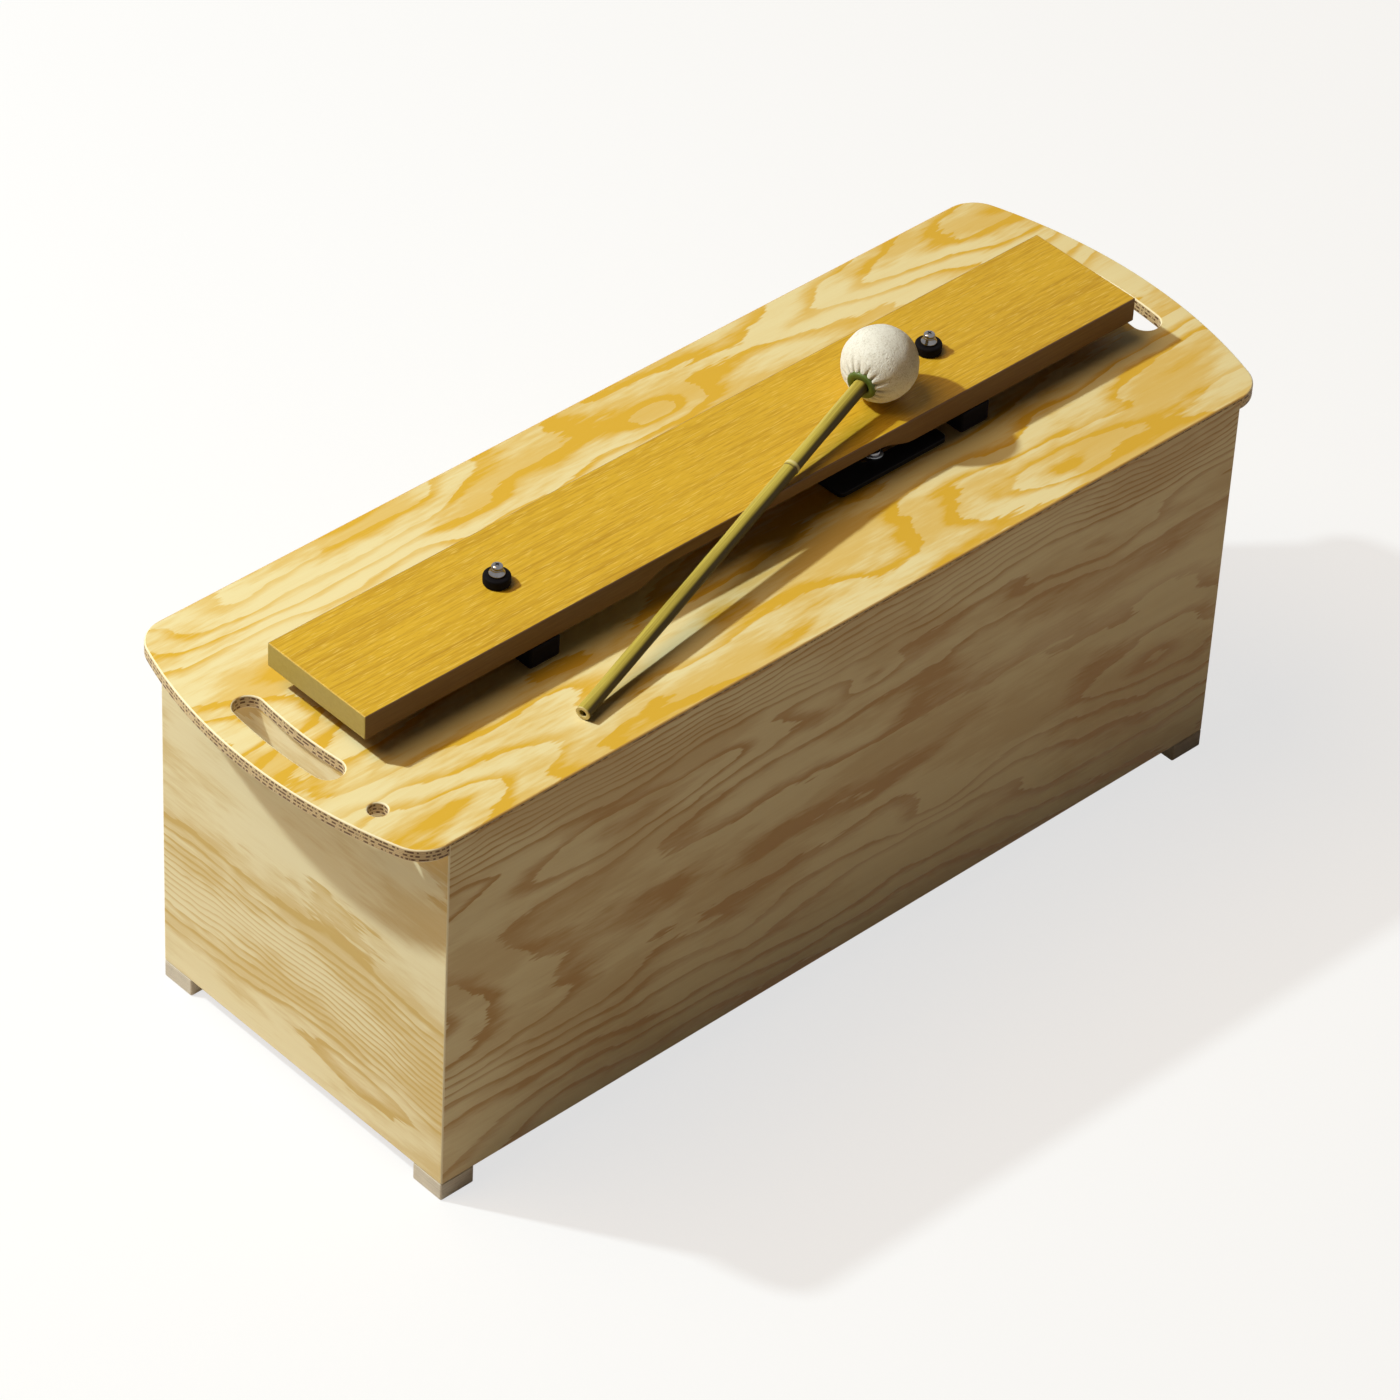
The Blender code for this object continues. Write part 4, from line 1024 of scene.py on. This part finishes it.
node_shadow = (1 - abs(z - NODE_SHADOW_AT).step(0.0001, 0.0008)) * 0.8
colour = cane.mixed((fibre - 0.5) * 2.4 + (stain - 0.5) * 1.4 + 0.35,
                    (0.55, 0.45, 0.08), (0.32, 0.24, 0.035))
# Painted shade: the side of the cane turned away from the lamp is painted nearly black, its
# shadow side painted into the colour.
painted_shade_side = (x * 0.88 - y * 0.48) / HANDLE_RADIUS + (stain - 0.5) * 0.4
colour = cane.mixed(painted_shade_side.step(-0.1, 0.38) * 0.9, colour, (0.034, 0.022, 0.008))
colour = cane.mixed(node_ring * 0.7, colour, (0.78, 0.7, 0.34))
colour = cane.mixed(node_shadow, colour, (0.13, 0.09, 0.03))
cut_end = z.step(HANDLE_REACH - 0.0012, HANDLE_REACH - 0.0002)
colour = cane.mixed(cut_end, colour, (0.7, 0.58, 0.26))
cane.feed(cane.shader, {"Base Color": colour, "Roughness": 0.3 + fibre * 0.2,
                        "Normal": cane.raised(fibre, 0.00005, 0.5)})
dressed(handle, cane.material)
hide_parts("mallet_handle")
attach(handle, "mallet")

# The mallet's collar: a thick smooth ring of dark green plastic on the cane, which holds
# the gathered mouth of the felt. The rubber core is out of sight inside the felt.
COLLAR_BORE = 0.0047
COLLAR_RADIUS = 0.0092
COLLAR_NEAR = 0.0165
COLLAR_FAR = 0.0213
COLLAR_EASE = 0.0019
collar_profile = [(COLLAR_BORE, COLLAR_FAR), (COLLAR_RADIUS, COLLAR_FAR),
                  (COLLAR_RADIUS, COLLAR_NEAR), (COLLAR_BORE, COLLAR_NEAR)]
collar = turned("collar_ring", eased(collar_profile, COLLAR_EASE, 6), 56, mallet_place,
                closed=True)
green = Finish("collar_plastic", Specular_IOR_Level=0.35)
mottle = green.even_noise(along_mallet(green), 220, 3, 0.6)
green.feed(green.shader, {
    "Base Color": green.mixed(mottle, (0.125, 0.178, 0.02), (0.068, 0.105, 0.018)),
    "Roughness": 0.32 + mottle * 0.2, "Normal": green.raised(mottle, 0.00008, 0.4)})
dressed(collar, green.material)
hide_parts("mallet_collar")
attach(collar, "mallet")
core = Finish("core_rubber")
crumb = core.even_noise(core.place(), 500, 3)
core.feed(core.shader, {"Base Color": core.mixed(crumb, (0.34, 0.27, 0.2), (0.22, 0.17, 0.12)),
                        "Roughness": 0.6 + crumb * 0.2})
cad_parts["mallet_core"].material_slots[0].material = core.material

# The mallet's head: a round of off-white felt drawn over the core and gathered in small
# pleats round the collar. Its skin is soft and slightly uneven, with a fine nap.
COVER_THICK = 0.003
MOUTH_RADIUS = 0.0093
MOUTH_INSET = 0.0002
MOUTH_TURN_IN = 0.0012
PLEATS = 15
FOLD_DEPTH = 0.0021
SKIN_INSET = 0.0003
LINING_SHADE = 0.6
mouth_angle = math.asin(MOUTH_RADIUS / HEAD_RADIUS)


def fold_depth(angle, turn):
    """How deep the gathers are there, 1 in the bottom of a crease at the mouth."""
    wander = 0.22 * math.sin(turn * 2 + 0.7) + 0.16 * math.sin(turn * 5 + 2.1)
    phase = PLEATS * turn / 2 + wander
    crease = 1 - abs(math.sin(phase)) ** 0.55
    reach = 0.5 + 0.16 * math.sin(turn * 3 + 1.3) + 0.1 * math.sin(turn * 7)
    fade = max(0, 1 - (angle - mouth_angle) / reach)
    return crease * fade ** 1.6


around, down = 240, 96
bm = bmesh.new()
# Each point also keeps its crease depth, which the felt's colour uses as painted shade.
crease_shade_layer = bm.verts.layers.float.new("crease_shade")
rings = []
for i in range(down + 1):
    angle = mouth_angle + (math.pi - mouth_angle) * (i / down) ** 1.15
    ring = []
    for j in range(around if i < down else 1):
        turn = 2 * math.pi * j / around
        depth = fold_depth(angle, turn)
        lump = (0.00012 * math.sin(angle * 5 + turn * 3)
                + 0.0001 * math.sin(angle * 9 - turn * 4 + 1)
                + 0.00008 * math.sin(angle * 14 + turn * 7 + 2))
        radius = HEAD_RADIUS - SKIN_INSET - FOLD_DEPTH * depth + lump * math.sin(angle)
        vert = bm.verts.new((radius * math.sin(angle) * math.cos(turn),
                             radius * math.sin(angle) * math.sin(turn), radius * math.cos(angle)))
        vert[crease_shade_layer] = depth
        ring.append(vert)
    rings.append(ring if len(ring) > 1 else ring * around)
inside = HEAD_RADIUS - COVER_THICK
lining = [(MOUTH_RADIUS - MOUTH_INSET, HEAD_RADIUS * math.cos(mouth_angle) - MOUTH_TURN_IN)]
inner_mouth = math.asin(MOUTH_RADIUS / inside)
lining += [(inside * math.sin(a), inside * math.cos(a))
           for a in (inner_mouth + (math.pi - inner_mouth) * k / 20 for k in range(20))]
inner_rings = [spun(bm, radius, height, around) for radius, height in lining]
# The lining inside the mouth gets a fixed painted shade.
for ring in inner_rings:
    for vert in ring:
        vert[crease_shade_layer] = LINING_SHADE
inner_rings.append(spun(bm, 0, -inside, around))
skin = inner_rings[::-1] + rings
for first, second in zip(skin, skin[1:]):
    spanned(bm, first, second)
head = new_piece("head_felt", bm)
head.data.transform(mallet_place)
head.data.shade_smooth()
felt = Finish("white_felt", Sheen_Weight=0.15, Sheen_Roughness=0.6, Specular_IOR_Level=0.1)
point = felt.place()
nap = felt.even_noise(point, 1100, 4, 0.7)
tuft = felt.even_noise(point, 320, 3, 0.6)
soil = felt.even_noise(point, 70, 3)
# Painted shade: the felt is painted darker in the bottoms of the pleats and on the lining inside
# the mouth, from the depth kept on each point.
crease_shade = felt.node("ShaderNodeAttribute", {"attribute_name": "crease_shade"}, output="Fac")
colour = felt.mixed((nap - 0.5) * 4 + (tuft - 0.5) * 1.2 + soil.step(0.4, 0.8) * 0.2 + 0.1,
                    (0.94, 0.925, 0.84), (0.7, 0.66, 0.56))
colour = felt.mixed(crease_shade * 0.9, colour, (0.26, 0.2, 0.12))
felt.feed(felt.shader, {"Base Color": colour, "Roughness": 0.9 + nap * 0.1,
                        "Normal": felt.raised(nap + tuft * 0.8, 0.0007, 0.9)})
head.data.materials.append(felt.material)
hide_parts("mallet_cover")
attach(head, "mallet")
